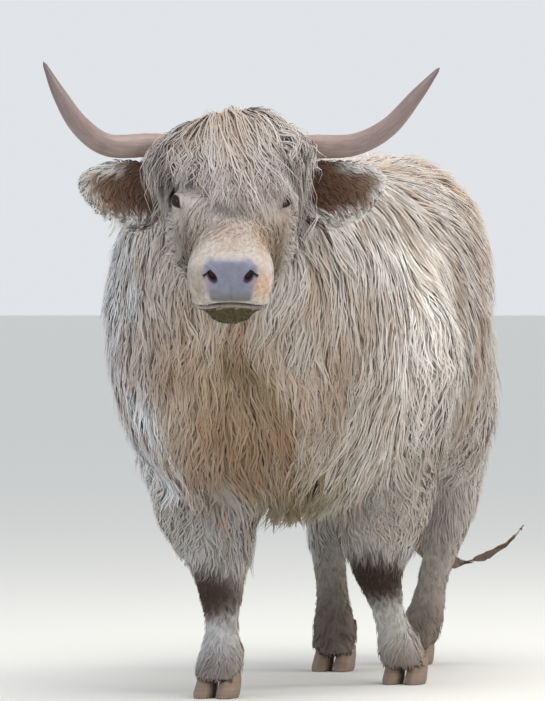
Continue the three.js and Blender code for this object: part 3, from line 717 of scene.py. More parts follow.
for side, name in ((1, "left"), (-1, "right")):
    bpy.ops.object.select_all(action="DESELECT")
    bpy.ops.mesh.primitive_uv_sphere_add(segments=48, ring_count=40, radius=1, location=(0, 0, 0))
    eye = bpy.context.object
    eye.name = f"eyeball_{name}"
    ball = points_of(eye.data)
    axes = np.stack([SLIT, BROWWARD, GAZE]) * (side, 1, 1)
    cornea = 1 + 0.07 * np.exp(-(((1 - ball[:, 2]) / 0.16) ** 2))
    put_points(eye.data, from_skull(EYE * (side, 1, 1) + (EYE_RADIUS * cornea)[:, None] * (ball @ axes)))
    layer = eye.data.attributes.new("gaze", "FLOAT_VECTOR", "POINT")
    layer.data.foreach_set("vector", ball.astype(np.float32).ravel())
    bpy.ops.object.mode_set(mode="EDIT")
    bpy.ops.mesh.select_all(action="SELECT")
    bpy.ops.mesh.normals_make_consistent(inside=False)
    bpy.ops.object.mode_set(mode="OBJECT")
    bpy.ops.object.shade_smooth()
    eye.data.materials.append(wet_eye)
    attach(eye, "root")
    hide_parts(f"eye_{name}")

# ---- Horns -----------------------------------------------------------------------------------------------
# Hollow keratin sheaths over a bony core: grey-pink and dull, ringed and flaky at the root, smoother and darker
# towards the worn tip. Each is a ball drawn out along the horn's sweep.

# out, up, ahead, half thickness
HORN_ROWS = {
    "left": ((70, 32, -8, 25), (96, 34, -6, 25), (165, 38, 0, 24.5), (248, 42, 22, 22.5), (316, 76, 42, 19.5),
             (374, 141, 40, 13.5), (421, 198, 22, 3)),
    "right": ((70, 34, -8, 25), (96, 36, -6, 25), (165, 41, 0, 24.5), (250, 41, 22, 23), (306, 80, 40, 20.5),
              (348, 144, 38, 14), (381, 210, 18, 3)),
}
dull_keratin, tree, output = new_material("dull keratin")
length_share = add_node(tree, "ShaderNodeAttribute", attribute_name="along")
own = add_node(tree, "ShaderNodeTexCoord")
grain_place = add_node(tree, "ShaderNodeAttribute", attribute_name="grain")
grain = add_node(tree, "ShaderNodeTexNoise", {"Vector": grain_place.outputs["Vector"], "Scale": 1.0, "Detail": 5.0})
blotches = add_node(tree, "ShaderNodeTexNoise", {"Vector": own.outputs["Object"], "Scale": 26.0, "Detail": 3.0})
stops = add_node(tree, "ShaderNodeValToRGB", {"Fac": length_share.outputs["Fac"]})
ramp_stops = stops.color_ramp.elements
ramp_stops[0].position, ramp_stops[0].color = 0.0, (*linear("#a08d84"), 1)
ramp_stops[1].position, ramp_stops[1].color = 1.0, (*linear("#5d4f4f"), 1)
for position, code in ((0.45, "#93817c"), (0.8, "#7b6a69")):
    stop = ramp_stops.new(position)
    stop.color = (*linear(code), 1)
grained = add_node(tree, "ShaderNodeMapRange", {"Value": grain.outputs["Fac"], "From Min": 0.3, "From Max": 0.7,
                                                "To Min": 0.8, "To Max": 1.12})
tinted = add_node(tree, "ShaderNodeMix", {"Factor": 1.0, "A": stops.outputs["Color"], "B": grained.outputs["Result"]},
                  data_type="RGBA", blend_type="MULTIPLY")
blotch = add_node(tree, "ShaderNodeMapRange", {"Value": blotches.outputs["Fac"], "From Min": 0.45, "From Max": 0.75,
                                               "To Max": 0.45})
aged = add_node(tree, "ShaderNodeMix", {"Factor": blotch.outputs["Result"], "A": tinted.outputs["Result"],
                                        "B": (*linear("#6e5a55"), 1)}, data_type="RGBA")
flakes = add_node(tree, "ShaderNodeBump", {"Height": grain.outputs["Fac"], "Strength": 0.35, "Distance": 0.0012})
keratin = add_node(tree, "ShaderNodeBsdfPrincipled", {"Base Color": aged.outputs["Result"], "Roughness": 0.46,
                                                      "IOR": 1.54, "Normal": flakes.outputs["Normal"]})
tree.links.new(keratin.outputs["BSDF"], output.inputs["Surface"])

for side, name in ((1, "left"), (-1, "right")):
    bpy.ops.object.select_all(action="DESELECT")
    bpy.ops.mesh.primitive_uv_sphere_add(segments=40, ring_count=150, radius=1, location=(0, 0, 0))
    horn = bpy.context.object
    horn.name = f"horn_sheath_{name}"
    ball = points_of(horn.data)
    rows = through(HORN_ROWS[name], 600)
    spine = np.stack([side * rows[:, 0], -rows[:, 2], rows[:, 1]], 1)
    forward = unit(np.gradient(spine, axis=0))
    lift = unit(np.cross(forward, np.array([0.0, 1.0, 0.0])))
    aside = np.cross(forward, lift)
    share = np.arccos(np.clip(ball[:, 2], -1, 1)) / math.pi
    at = np.clip(share * 599, 0, 599)
    low = at.astype(int)
    mid, to_lift, to_aside = spine[low], lift[low], aside[low]
    nxt = np.minimum(low + 1, 599)
    mid = mid + (at - low)[:, None] * (spine[nxt] - mid)
    half = rows[low, 3] * np.minimum(1, np.sqrt(np.clip(share / 0.03, 0, 1))) * np.sqrt(np.clip((1 - share) / 0.02, 0, 1))
    rings = 0.9 * np.sin(share * 130 + 0.8 * np.sin(share * 31)) * (1 - ramp(share, 0.12, 0.5))
    flat = unit(ball[:, :2])
    half = half + rings * np.minimum(share / 0.03, 1)
    places = mid + half[:, None] * (flat[:, :1] * to_lift + flat[:, 1:] * to_aside)
    put_points(horn.data, from_poll(places))
    put_values(horn.data, "along", share)
    layer = horn.data.attributes.new("grain", "FLOAT_VECTOR", "POINT")
    turned = np.stack([share * 14, flat[:, 0] * 6, flat[:, 1] * 6], 1)
    layer.data.foreach_set("vector", turned.astype(np.float32).ravel())
    bpy.ops.object.mode_set(mode="EDIT")
    bpy.ops.mesh.select_all(action="SELECT")
    bpy.ops.mesh.normals_make_consistent(inside=False)
    bpy.ops.object.mode_set(mode="OBJECT")
    bpy.ops.object.shade_smooth()
    horn.data.materials.append(dull_keratin)
    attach(horn, "root")
    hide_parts(f"horn_{name}")

# ---- Claws and dewclaws ------------------------------------------------------------------------------------
# Each foot stands on two horny claws, with two small dewclaws behind the pastern. Dull grey-brown horn with growth
# lines round it, muddied in patches. Smoothed from the solids.

muddy_hoof_horn, tree, output = new_material("muddy hoof horn")
own = add_node(tree, "ShaderNodeTexCoord")
lines_place = add_node(tree, "ShaderNodeMapping", {"Vector": own.outputs["Object"], "Scale": (14, 14, 170)})
growth = add_node(tree, "ShaderNodeTexNoise", {"Vector": lines_place.outputs["Vector"], "Scale": 1.0, "Detail": 4.0})
mud = add_node(tree, "ShaderNodeTexNoise", {"Vector": own.outputs["Object"], "Scale": 45.0, "Detail": 5.0})
horn_colour = add_node(tree, "ShaderNodeMix", {"Factor": growth.outputs["Fac"], "A": (*linear("#5f4d42"), 1),
                                               "B": (*linear("#a08674"), 1)}, data_type="RGBA")
mud_share = add_node(tree, "ShaderNodeMapRange", {"Value": mud.outputs["Fac"], "From Min": 0.42, "From Max": 0.62,
                                                  "To Max": 0.8})
muddied = add_node(tree, "ShaderNodeMix", {"Factor": mud_share.outputs["Result"], "A": horn_colour.outputs["Result"],
                                           "B": (*linear("#7b6d62"), 1)}, data_type="RGBA")
growth_lines = add_node(tree, "ShaderNodeBump", {"Height": growth.outputs["Fac"], "Strength": 0.5, "Distance": 0.001})
hoof_horn = add_node(tree, "ShaderNodeBsdfPrincipled", {"Base Color": muddied.outputs["Result"], "Roughness": 0.62,
                                                        "IOR": 1.5, "Normal": growth_lines.outputs["Normal"]})
tree.links.new(hoof_horn.outputs["BSDF"], output.inputs["Surface"])

hide_places = points_of(skin.data)
for leg in LEGS:
    for hand in ("left", "right"):
        for kind, voxel in (("claw", 3.4), ("dewclaw", 2.6)):
            node = f"{kind}_{leg}_{hand}"
            horny = fused_copy(f"horny_{node}", [node])
            remeshed(horny, voxel * MM)
            places = evened(points_of(horny.data), ends_of(horny.data), 5)
            if kind == "dewclaw":
                middle = places.mean(0)
                hide_near = hide_places[np.argmin(np.linalg.norm(hide_places - middle, axis=1))]
                around = hide_places[np.linalg.norm(hide_places - hide_near, axis=1) < 45 * MM].mean(0)
                inward = unit((around - middle) * (1, 1, 0.2))
                deep = (places - hide_near) @ inward
                places = places + (0.45 * (deep.max() - deep) + 8 * MM - deep.max())[:, None] * inward
            places[:, 2] = np.maximum(places[:, 2], 0)
            put_points(horny.data, places)
            bpy.ops.object.shade_smooth()
            horny.data.materials.append(muddy_hoof_horn)
            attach(horny, "root")
            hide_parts(node)

# ---- Coat: body --------------------------------------------------------------------------------------------
# A long outer coat of wavy hair over the whole body. It hangs in pointed locks that part and overlap, down and
# back over the barrel, straight down over the breast, and in a fringe under the belly. Every lock is a closed
# three-sided taper rooted in the skin. Neighbours lean together into clumps, as damp hair does.

skin.data.calc_loop_triangles()
skin_corners = np.empty(len(skin.data.loop_triangles) * 3, np.int32)
skin.data.loop_triangles.foreach_get("vertices", skin_corners)
skin_corners = skin_corners.reshape(-1, 3)
skin_places, skin_ways = points_of(skin.data), normals_of(skin.data)
corner_places = skin_places[skin_corners]
skin_areas = np.linalg.norm(np.cross(corner_places[:, 1] - corner_places[:, 0],
                                     corner_places[:, 2] - corner_places[:, 0]), axis=1) / 2
skin_middles = corner_places.mean(1)
middle_ways = unit(skin_ways[skin_corners].mean(1))
middle_part = parts_at(skin_middles)
middle_skull = to_skull(skin_middles)
middle_level = (skin_middles - POLL) @ LEVEL / MM
skin_tree = BVHTree.FromPolygons([Vector(p) for p in skin_places], skin_corners.tolist())
SPINE_X = -0.03


def value_of(name):
    values = np.zeros(len(skin_places), np.float32)
    skin.data.attributes[name].data.foreach_get("value", values)
    return values[skin_corners].max(1)


def part_is(*names):
    return np.isin(middle_part, [SKIN_NODES.index(name) for name in names])


def scattered(share, count, seed):
    """Count places over the skin where share is over 0, with the skin's outward ways there."""
    random = np.random.default_rng(seed)
    weight = skin_areas * share
    picked = random.choice(len(weight), count, p=weight / weight.sum())
    first, second = np.sqrt(random.random(count)), random.random(count)
    shares = np.stack([1 - first, first * (1 - second), first * second], 1)[:, :, None]
    corners = skin_corners[picked]
    return (skin_places[corners] * shares).sum(1), unit((skin_ways[corners] * shares).sum(1))


def drift(places, size, seed):
    """A smooth wandering value, about -1 to 1, that turns over in about size metres."""
    random = np.random.default_rng(seed)
    waves = unit(random.normal(size=(16, 3))) * 2 * math.pi / size * random.uniform(0.6, 1.7, (16, 1))
    return np.sin(places @ waves.T + random.uniform(0, 2 * math.pi, 16)).sum(1) / 4.0


def turned(vectors, ways, angles):
    """Vectors turned about ways."""
    c, s = np.cos(angles)[:, None], np.sin(angles)[:, None]
    return vectors * c + np.cross(ways, vectors) * s


def combed(places, ways, lie, length, lift, hang, free, steps, rise=None):
    """A path for each lock: it leaves the skin, follows the lie at its height over the skin, and hangs by the
    share hang. Free is how little it is drawn back where it runs off an edge."""
    rise = np.linspace(0, 1, steps + 1) ** 0.6 if rise is None else rise
    path, path_ways = [places - 4 * MM * ways], [ways]
    at, way = places, ways
    for step in range(1, steps + 1):
        flow = lie(at, way)
        flow = unit(flow - 0.92 * np.sum(flow * way, axis=1, keepdims=True) * way)
        fall = np.array([0, 0, -1.0]) * (hang * (step / steps))[:, None]
        at = at + (length / steps)[:, None] * unit(flow + fall)
        found = [skin_tree.find_nearest(place) for place in at]
        foot = np.array([hit[0] for hit in found])
        up = np.array([hit[1] for hit in found])
        height = np.sum((at - foot) * up, axis=1)
        way = unit(way + 1.2 * up)
        wanted = lift * rise[step]
        loose = hang * np.clip(1.3 * ramp(-up[:, 2], -0.35, 0.5), 0, 1)
        height = np.where(height < wanted, wanted, wanted + (height - wanted) * loose)
        kept = foot + height[:, None] * up
        aside = at - foot - np.sum((at - foot) * up, axis=1, keepdims=True) * up
        at = kept + aside * np.maximum(loose, free)[:, None]
        path.append(at)
        path_ways.append(way)
    path, path_ways = np.stack(path, 1), np.stack(path_ways, 1)
    path[:, 1:-1] = 0.6 * path[:, 1:-1] + 0.2 * (path[:, :-2] + path[:, 2:])
    return path, path_ways


def cells_for(across, along):
    """A place in a square map for each root, one to a cell, in the order of an unwrap of the skin."""
    count = len(across)
    columns = int(math.ceil(math.sqrt(count)))
    order = np.argsort(along, kind="stable")
    cell = np.empty((count, 2))
    for row in range(0, count, columns):
        members = order[row : row + columns]
        members = members[np.argsort(across[members], kind="stable")]
        cell[members, 0] = (np.arange(len(members)) + 0.5) / len(members)
        cell[members, 1] = (row / columns + 0.5) / math.ceil(count / columns)
    return cell


PATCH = 0.0034
BEND = 0.3  # how high a lock's ridge stands, as a share of its half width


def lock_mesh(name, spines, spine_ways, half, colours, shade, across, along, softness, pale_root):
    """A mesh of locks along spines: closed tapers, each with three edges and a point."""
    count, rings = spines.shape[0], spines.shape[1] - 1
    forward = unit(np.gradient(spines, axis=1))
    aside = unit(np.cross(forward, spine_ways))
    outward = np.cross(aside, forward)
    share = np.linspace(0, 1, rings + 1)
    width = (half[:, None] * (0.72 + 0.5 * np.sin(share * 2.6)) * (1 - share**2.2))[..., None]
    left, right, ridge = spines - aside * width, spines + aside * width, spines + outward * width * BEND
    body = np.stack([left, ridge, right], 2)[:, :rings].reshape(count, rings * 3, 3)
    points = np.concatenate([body, spines[:, -1:]], 1)
    each = rings * 3 + 1
    faces, map_faces = [], []
    for ring in range(rings - 1):
        for edge in range(3):
            a, b = ring * 3 + edge, ring * 3 + (edge + 1) % 3
            low, high = ring / rings, (ring + 1) / rings
            u, v = edge / 2, ((edge + 1) % 3) / 2
            faces += [(a, b, b + 3), (a, b + 3, a + 3)]
            map_faces += [((u, low), (v, low), (v, high)), ((u, low), (v, high), (u, high))]
    for edge in range(3):
        a, b = (rings - 1) * 3 + edge, (rings - 1) * 3 + (edge + 1) % 3
        faces.append((a, b, each - 1))
        map_faces.append(((edge / 2, 1 - 1 / rings), (((edge + 1) % 3) / 2, 1 - 1 / rings), (0.5, 1)))
    faces.append((2, 1, 0))
    map_faces.append(((1, 0), (0.5, 0.2), (0, 0)))
    faces = np.array(faces)
    loops = (faces.ravel()[None] + (np.arange(count) * each)[:, None]).ravel()
    mesh = bpy.data.meshes.new(name)
    mesh.vertices.add(count * each)
    mesh.vertices.foreach_set("co", points.astype(np.float32).ravel())
    mesh.loops.add(len(loops))
    mesh.loops.foreach_set("vertex_index", loops.astype(np.int32))
    mesh.polygons.add(len(loops) // 3)
    mesh.polygons.foreach_set("loop_start", np.arange(0, len(loops), 3, dtype=np.int32))
    mesh.polygons.foreach_set("use_smooth", np.ones(len(loops) // 3, bool))
    mesh.update(calc_edges=True)
    cell = cells_for(across, along)
    spot = np.array(map_faces).reshape(-1, 2) * PATCH - PATCH / 2
    places = (cell * (1 - 2 * PATCH) + PATCH)[:, None] + spot[None]
    mesh.uv_layers.new(name="OFBake").data.foreach_set("uv", places.astype(np.float32).ravel())
    rows = np.repeat(np.arange(count), each)
    put_colours(mesh, colours[rows])
    put_values(mesh, "along", np.tile(pale_root + (1 - pale_root) * np.append(np.repeat(share[:rings], 3), 1.0), count))
    put_values(mesh, "strand", np.tile(np.append(np.tile([0.0, 0.5, 1.0], rings), 0.5), count))
    put_values(mesh, "shade", shade[rows])
    # The normals lean to the skin's own, so that the coat takes the light as one soft surface.
    outer = unit((1 - softness) * outward + softness * spine_ways)
    flanks = [unit(outer - 0.7 * (1 - softness) * aside), outer, unit(outer + 0.7 * (1 - softness) * aside), unit((0, 0, 0.9) - 0.5 * outward)]
    ring_ways = np.stack(flanks, 2)
    corner_ring = np.minimum(faces // 3, rings)
    corner_edge = np.where(faces == each - 1, 1, faces % 3)
    under_face = np.array([set(face) <= {0, 2} for face in (corner_edge * (faces < each - 1)).tolist()])
    tip_edge = (faces == each - 1).any(1) & ~(faces % 3 == 1)[:, :].any(1)
    corner_edge[under_face | tip_edge] = 3
    corner_edge[-1] = 1
    mesh.normals_split_custom_set(ring_ways[:, corner_ring.ravel(), corner_edge.ravel()].reshape(-1, 3))
    piece = bpy.data.objects.new(name, mesh)
    bpy.context.scene.collection.objects.link(piece)
    return piece


# Hair: a horny fibre with a soft shine. Each lock is painted darker and tanner at the root and paler at the tip, as the
# shade down in the coat where the locks part.
# The strands in a lock are drawn several times coarser than hair, or they wouldn't show.
wavy_hair, tree, output = new_material("wavy cattle hair")
marking = add_node(tree, "ShaderNodeAttribute", attribute_name="marking")
along_lock = add_node(tree, "ShaderNodeAttribute", attribute_name="along")
strand_place = add_node(tree, "ShaderNodeAttribute", attribute_name="strand")
lock_shade = add_node(tree, "ShaderNodeAttribute", attribute_name="shade")
own = add_node(tree, "ShaderNodeTexCoord")
strand_row = add_node(tree, "ShaderNodeCombineXYZ", {"X": strand_place.outputs["Fac"], "Y": along_lock.outputs["Fac"],
                                                     "Z": lock_shade.outputs["Fac"]})
strand_scale = add_node(tree, "ShaderNodeVectorMath", {0: strand_row.outputs["Vector"], 1: (7.0, 1.2, 60.0)},
                        operation="MULTIPLY")
strands = add_node(tree, "ShaderNodeTexNoise", {"Vector": strand_scale.outputs["Vector"], "Scale": 1.0, "Detail": 2.0})
# Painted shade: each lock darker at its root.
root_dark = add_node(tree, "ShaderNodeMapRange", {"Value": along_lock.outputs["Fac"], "From Max": 0.75,
                                                  "To Min": 0.96, "To Max": 1.04})
shade_light = add_node(tree, "ShaderNodeMapRange", {"Value": lock_shade.outputs["Fac"], "To Min": 0.88, "To Max": 1.08})
strand_light = add_node(tree, "ShaderNodeMapRange", {"Value": strands.outputs["Fac"], "From Min": 0.3,
                                                     "From Max": 0.7, "To Min": 0.86, "To Max": 1.06})
light_a = add_node(tree, "ShaderNodeMath", {0: root_dark.outputs["Result"], 1: shade_light.outputs["Result"]},
                   operation="MULTIPLY")
light_b = add_node(tree, "ShaderNodeMath", {0: light_a.outputs["Value"], 1: strand_light.outputs["Result"]},
                   operation="MULTIPLY")
# Painted shade: each lock tan at its root, where the locks part.
root_tan = add_node(tree, "ShaderNodeMapRange", {"Value": along_lock.outputs["Fac"], "From Max": 0.6,
                                                 "To Min": 0.22, "To Max": 0.0})
tanned = add_node(tree, "ShaderNodeMix", {"Factor": root_tan.outputs["Result"], "A": marking.outputs["Color"],
                                          "B": (*linear("#9a7e66"), 1)}, data_type="RGBA")
lit = add_node(tree, "ShaderNodeMix", {"Factor": 1.0, "A": tanned.outputs["Result"], "B": light_b.outputs["Value"]},
               data_type="RGBA", blend_type="MULTIPLY")
strand_relief = add_node(tree, "ShaderNodeBump", {"Height": strands.outputs["Fac"], "Strength": 0.4,
                                                  "Distance": 0.0008})
fibre = add_node(tree, "ShaderNodeBsdfPrincipled", {"Base Color": lit.outputs["Result"], "Roughness": 0.72,
                                                    "IOR": 1.38, "Normal": strand_relief.outputs["Normal"]})
tree.links.new(fibre.outputs["BSDF"], output.inputs["Surface"])


def coat(name, share, locks, clumps, lie, length, lift, half, hang=0.3, rings=5, gather=0.4, wave=0.004, turns=1.3,
         tan=0.5, axis=(0, 1, 0), middle=(SPINE_X, 0, 0.8), rise=None, seed=1, paint=markings, varied=0.25,
         softness=0.75, pale_root=0.0, unruly=0.13, free=0.12):
    """A piece of the coat over the skin where share is over 0. Length and lift may depend on the place."""
    random = np.random.default_rng(seed)
    roots, root_ways = scattered(share, locks, seed)
    tree = KDTree(clumps)
    for number, place in enumerate(roots[:clumps]):
        tree.insert(place, number)
    tree.balance()
    owner = np.array([tree.find(place)[1] for place in roots])
    far = (length(roots, root_ways) if callable(length) else np.full(locks, length))
    high = (lift(roots, root_ways) if callable(lift) else np.full(locks, lift))
    far = far * random.uniform(1 - varied, 1 + varied, clumps)[owner] * random.uniform(0.8, 1.08, locks)
    high = high * random.uniform(0.65, 1.0, clumps)[owner] * random.uniform(0.4, 1.0, locks) ** 0.8
    high = high * np.where(random.random(locks) > 0.97, 1.4, 1.0)
    lean = (unruly * random.normal(size=clumps))[owner] + 0.25 * unruly * random.normal(size=locks)
    lean = lean + 0.30 * drift(roots, 0.30, 107)

    def leaning(at, way):
        return turned(lie(at, way), way, lean + 0.22 * drift(at, 0.16, 103))

    paths, path_ways = combed(roots, root_ways, leaning, far, high, np.full(locks, hang), free, rings, rise)
    shares = np.linspace(0, 1, rings + 1)[None]
    drawn = gather * random.uniform(0.7, 1.1, locks)[:, None] * shares**1.1
    spines = paths + drawn[..., None] * (paths[owner] - paths)
    ways = unit(path_ways + drawn[..., None] * (path_ways[owner] - path_ways))
    forward = unit(np.gradient(spines, axis=1))
    aside = unit(np.cross(forward, ways))
    phase = 4.0 * drift(roots, 0.12, 109) + unruly * 5 * random.normal(size=locks)
    swing = shares * 2 * math.pi * turns * random.uniform(0.9, 1.1, locks)[:, None] + phase[:, None]
    reach = wave * random.uniform(0.5, 1.3, locks)[:, None] * np.minimum(shares * 1.6, 1)
    spines = spines + (reach * np.sin(swing))[..., None] * aside + (0.35 * reach * np.cos(swing) * shares)[..., None] * ways
    spines[..., 2] = np.maximum(spines[..., 2], 0.004)
    colours = paint(roots)
    long_streaks = drift(roots * (1, 1, 0.4), 0.11, 111)
    streak = np.clip(0.38 + 0.6 * long_streaks + (0.25 * random.normal(size=clumps))[owner], 0, 1)
    colours = colours + (tan * streak)[:, None] * (np.array(linear("#a3886f")) * colours / np.array(linear(CREAM)) - colours)
    half_widths = half * random.uniform(0.65, 1.3, locks)
    axis = np.array(axis, float)
    side_a = unit(np.cross(axis, (0.3, 0.2, 0.9)))
    side_b = np.cross(axis, side_a)
    off = roots - np.array(middle)
    piece = lock_mesh(name, spines, ways, half_widths, colours, random.random(locks),
                      np.arctan2(off @ side_a, off @ side_b), off @ axis, softness, pale_root)
    piece.data.materials.append(wavy_hair)
    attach(piece, "root")
    return piece


def body_lie(places, ways):
    """Down and back over the barrel, straight down in front, and out from the spine."""
    back = 0.62 * ramp(places[:, 1], -0.40, 0.10) + 0.6 * ramp(ways[:, 2], 0.55, 0.95)
    outward = np.clip((places[:, 0] - SPINE_X) / 0.10, -1, 1) * 0.7 * ramp(ways[:, 2], 0.25, 0.9)
    return np.stack([outward, back, np.full(len(places), -1.0)], 1)


def leg_lie(places, ways):
    return np.stack([0.12 * np.sign(ways[:, 0]) * np.abs(ways[:, 0]), np.full(len(places), 0.22),
                     np.full(len(places), -1.0)], 1)


mx, my, mz = skin_middles.T
head_like = (part_is("head", "forelock") | (np.linalg.norm(middle_skull - (0, -150, -60), axis=1) < 200)) & (
    middle_skull[:, 1] < 60)
on_ear_middle = (np.abs(middle_level[:, 0]) > 100) & (np.abs(middle_level[:, 2] + 50) < 75) & (
    np.abs(middle_level[:, 1] - 10) < 62)
torso = part_is("trunk", "neck") & ~on_ear_middle & ~head_like
underneath = torso & (middle_ways[:, 2] < -0.55)
flank = torso & ~underneath & (my > -0.02)
fore = torso & ~underneath & (my <= -0.02)
breast = fore & (middle_ways[:, 1] < -0.45) & (mz < 0.98)
# Behind the horns the neck's hair and the forelock's are rooted over each other, so that no skin shows between.
poll_band = (np.abs(middle_skull[:, 0]) < 125) & (middle_skull[:, 1] > 46) & (middle_skull[:, 1] < 95) & (
    middle_skull[:, 2] > 10) & ~on_ear_middle

coat("coat_flank_left", flank & (mx > SPINE_X) & (my < 0.62), 4300, 700, body_lie, 0.125, 0.036, 0.0027, tan=0.6, seed=11)
coat("coat_flank_right", flank & (mx <= SPINE_X) & (my < 0.62), 3000, 500, body_lie, 0.125, 0.036, 0.0030, seed=12)
coat("coat_rump", flank & (my >= 0.62), 2900, 480, body_lie, 0.115, 0.034, 0.0030, seed=13)
coat("coat_shoulder_left", (fore & ~breast | poll_band) & (mx > SPINE_X), 4700, 720, body_lie, 0.140, 0.038, 0.0026, wave=0.005, seed=14)
coat("coat_shoulder_right", (fore & ~breast | poll_band) & (mx <= SPINE_X), 4300, 680, body_lie, 0.140, 0.038, 0.0027, wave=0.005,
     seed=15)
coat("coat_breast", breast, 5200, 760, body_lie, 0.160, 0.038, 0.0025, hang=0.5, wave=0.007, turns=1.7, gather=0.5,
     tan=0.6, unruly=0.14, seed=16)
coat("coat_belly", underneath, 1900, 320, body_lie, 0.115, 0.022, 0.0031, hang=0.9, seed=17)

# ---- Coat: legs ---------------------------------------------------------------------------------------------
# Shaggy to the knee and hock, spiky where it stands off the edge of the forearm. Below them the hair is short
# and lies flat, with a little feather at the fetlock that hangs over the claws.

for number, leg in enumerate(LEGS):
    fore_leg = leg.endswith("fore")
    low, high = (Vector(corner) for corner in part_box(f"lower_leg_{leg}"))
    foot_middle = ((low.x + high.x) / 2, (low.y + high.y) / 2, 0.3)
    coat(f"coat_upper_{leg}", part_is(f"upper_leg_{leg}") & ~torso, 1900 if fore_leg else 1450, 340, leg_lie,
         lambda at, way: 0.065 + 0.060 * ramp(at[:, 2], 0.38, 0.75), lambda at, way: 0.016 + 0.024 * ramp(at[:, 2], 0.36, 0.7),
         0.0019, hang=0.35, tan=0.25, free=0.6, wave=0.007, unruly=0.24, axis=(0, 0, 1), middle=foot_middle, seed=30 + number)
    coat(f"coat_lower_{leg}", part_is(f"lower_leg_{leg}"), 1700, 380, leg_lie,
         lambda at, way: 0.020 + 0.040 * ramp(at[:, 2], 0.22, 0.38) + 0.024 * (1 - ramp(at[:, 2], 0.07, 0.15)),
         lambda at, way: 0.004 + 0.011 * ramp(at[:, 2], 0.22, 0.38) + 0.003 * (1 - ramp(at[:, 2], 0.09, 0.16)),
         0.0016, hang=0.3, rings=3, gather=0.5, wave=0.002, turns=0.7, tan=0.15, free=0.4, axis=(0, 0, 1), middle=foot_middle, seed=40 + number)

# ---- Coat: tail ---------------------------------------------------------------------------------------------
# Longer coarse hair along the dock, lengthening into a switch. The switch hangs to the hocks and its wet end
# swings out to her left.


def tail_lie(places, ways):
    swing = 1 - ramp(places[:, 2], 0.22, 0.36)
    end = ramp(places[:, 0], 0.10, 0.22)
    return np.stack([swing * np.ones(len(places)), np.zeros(len(places)), -1 + swing * (0.75 + 1.2 * end)], 1)


coat("coat_tail", part_is("tail_dock", "tail_switch"), 1300, 220, tail_lie,
     lambda at, way: 0.040 + 0.045 * ramp(at[:, 2], 0.25, 0.5), lambda at, way: 0.004 + 0.010 * ramp(at[:, 2], 0.25, 0.5),
     0.0022, hang=0.15, gather=0.5, wave=0.003, axis=(0, 0, 1), middle=(-0.03, 0.95, 0.6), seed=50)

# ---- Coat: ears ---------------------------------------------------------------------------------------------
# Long soft hair fills the cupped front and hangs from the lower rim in tassels. It is shorter along the top.

level_x = middle_level[:, 0]


def ear_lie(places, ways):
    at = (places - POLL) @ LEVEL / MM
    out = ramp(np.abs(at[:, 0]), 110, 230)
    below = ramp(-(at[:, 2] + 50), -14, 30)
    above = ramp(at[:, 2] + 50, 8, 34)
    level = np.stack([np.sign(at[:, 0]) * (0.35 + 0.75 * out - 0.25 * below), np.zeros(len(at)),
                      -0.45 - 0.8 * below * (1.3 - 0.6 * out) + 0.5 * above], 1)
    return level @ LEVEL.T


def ear_length(places, ways):
    at = (places - POLL) @ LEVEL / MM
    below = ramp(-(at[:, 2] + 50), 5, 34)
    out = np.abs(at[:, 0])
    front = 0.038 + below * (0.034 + 0.050 * (1 - ramp(out, 120, 200))) + 0.012 * ramp(out, 220, 290)
    return front - (front - 0.024) * ramp((ways @ LEVEL)[:, 1], -0.1, 0.4)


for side, name in ((1, "left"), (-1, "right")):
    coat(f"coat_ear_{name}", on_ear_middle & (level_x * side > 0), 2250, 380, ear_lie, ear_length, 0.012, 0.0017,
         hang=0.45, gather=0.4, wave=0.003, tan=0.1, softness=0.35, free=0.95, pale_root=0.3, axis=(1, 0, 0),
         middle=tuple(from_poll(np.array([side * 190.0, 10, -55]))), seed=60 + side, paint=ear_markings)

# ---- Coat: face ---------------------------------------------------------------------------------------------
# Short hair lies flat down the nose and out over the cheeks from a whorl between the eyes. It lengthens
# under the jaw into a shaggy throat.

bare_middle = value_of("hairless")
hairy_head = head_like & ~on_ear_middle
on_crown = (middle_skull[:, 1] > -78) & (middle_skull[:, 2] > -30) & ~on_ear_middle
crown = on_crown & (hairy_head | (np.abs(middle_skull[:, 0]) < 125) & (middle_skull[:, 1] < 95) & (middle_skull[:, 2] > 30))
between_horns = on_crown & (np.abs(middle_skull[:, 0]) < 125) & (middle_skull[:, 1] > -25) & (middle_skull[:, 1] < 85)
face = (hairy_head & ~crown | between_horns) & (bare_middle < 0.12)
WHORL = np.array([6.0, -172.0, 30.0])


def face_lie(places, ways):
    at = to_skull(places)
    off = at - WHORL
    flow = np.stack([0.9 * off[:, 0], off[:, 1] - 30, np.full(len(at), -26.0)], 1)
    flow = np.where((off[:, 1] > 0)[:, None], np.stack([1.2 * off[:, 0], off[:, 1], np.full(len(at), -20.0)], 1), flow)
    rear = ramp(at[:, 1], -190, -90) * ramp(-at[:, 2], 30, 100)
    flow = unit(flow) + rear[:, None] * np.array([0, 0.1, -1.6])
    return flow @ (LEVEL @ NOD).T


def face_length(places, ways):
    at = to_skull(places)
    jaw = ramp(at[:, 1], -300, -80) * ramp(-at[:, 2], 60, 120)
    cheek = ramp(at[:, 1], -340, -230) * ramp(np.abs(at[:, 0]), 46, 80) * ramp(-at[:, 2], -10, 30)
    from_eye = np.linalg.norm(np.abs(at) * (1, 0, 0) + at * (0, 1, 1) - EYE, axis=1)
    poll = ramp(at[:, 1], -60, -20)
    return (0.010 + 0.014 * ramp(at[:, 1], -350, -240) + 0.030 * cheek + 0.040 * jaw + 0.024 * poll * (1 - jaw)) * (0.3 + 0.7 * ramp(from_eye, 26, 52))


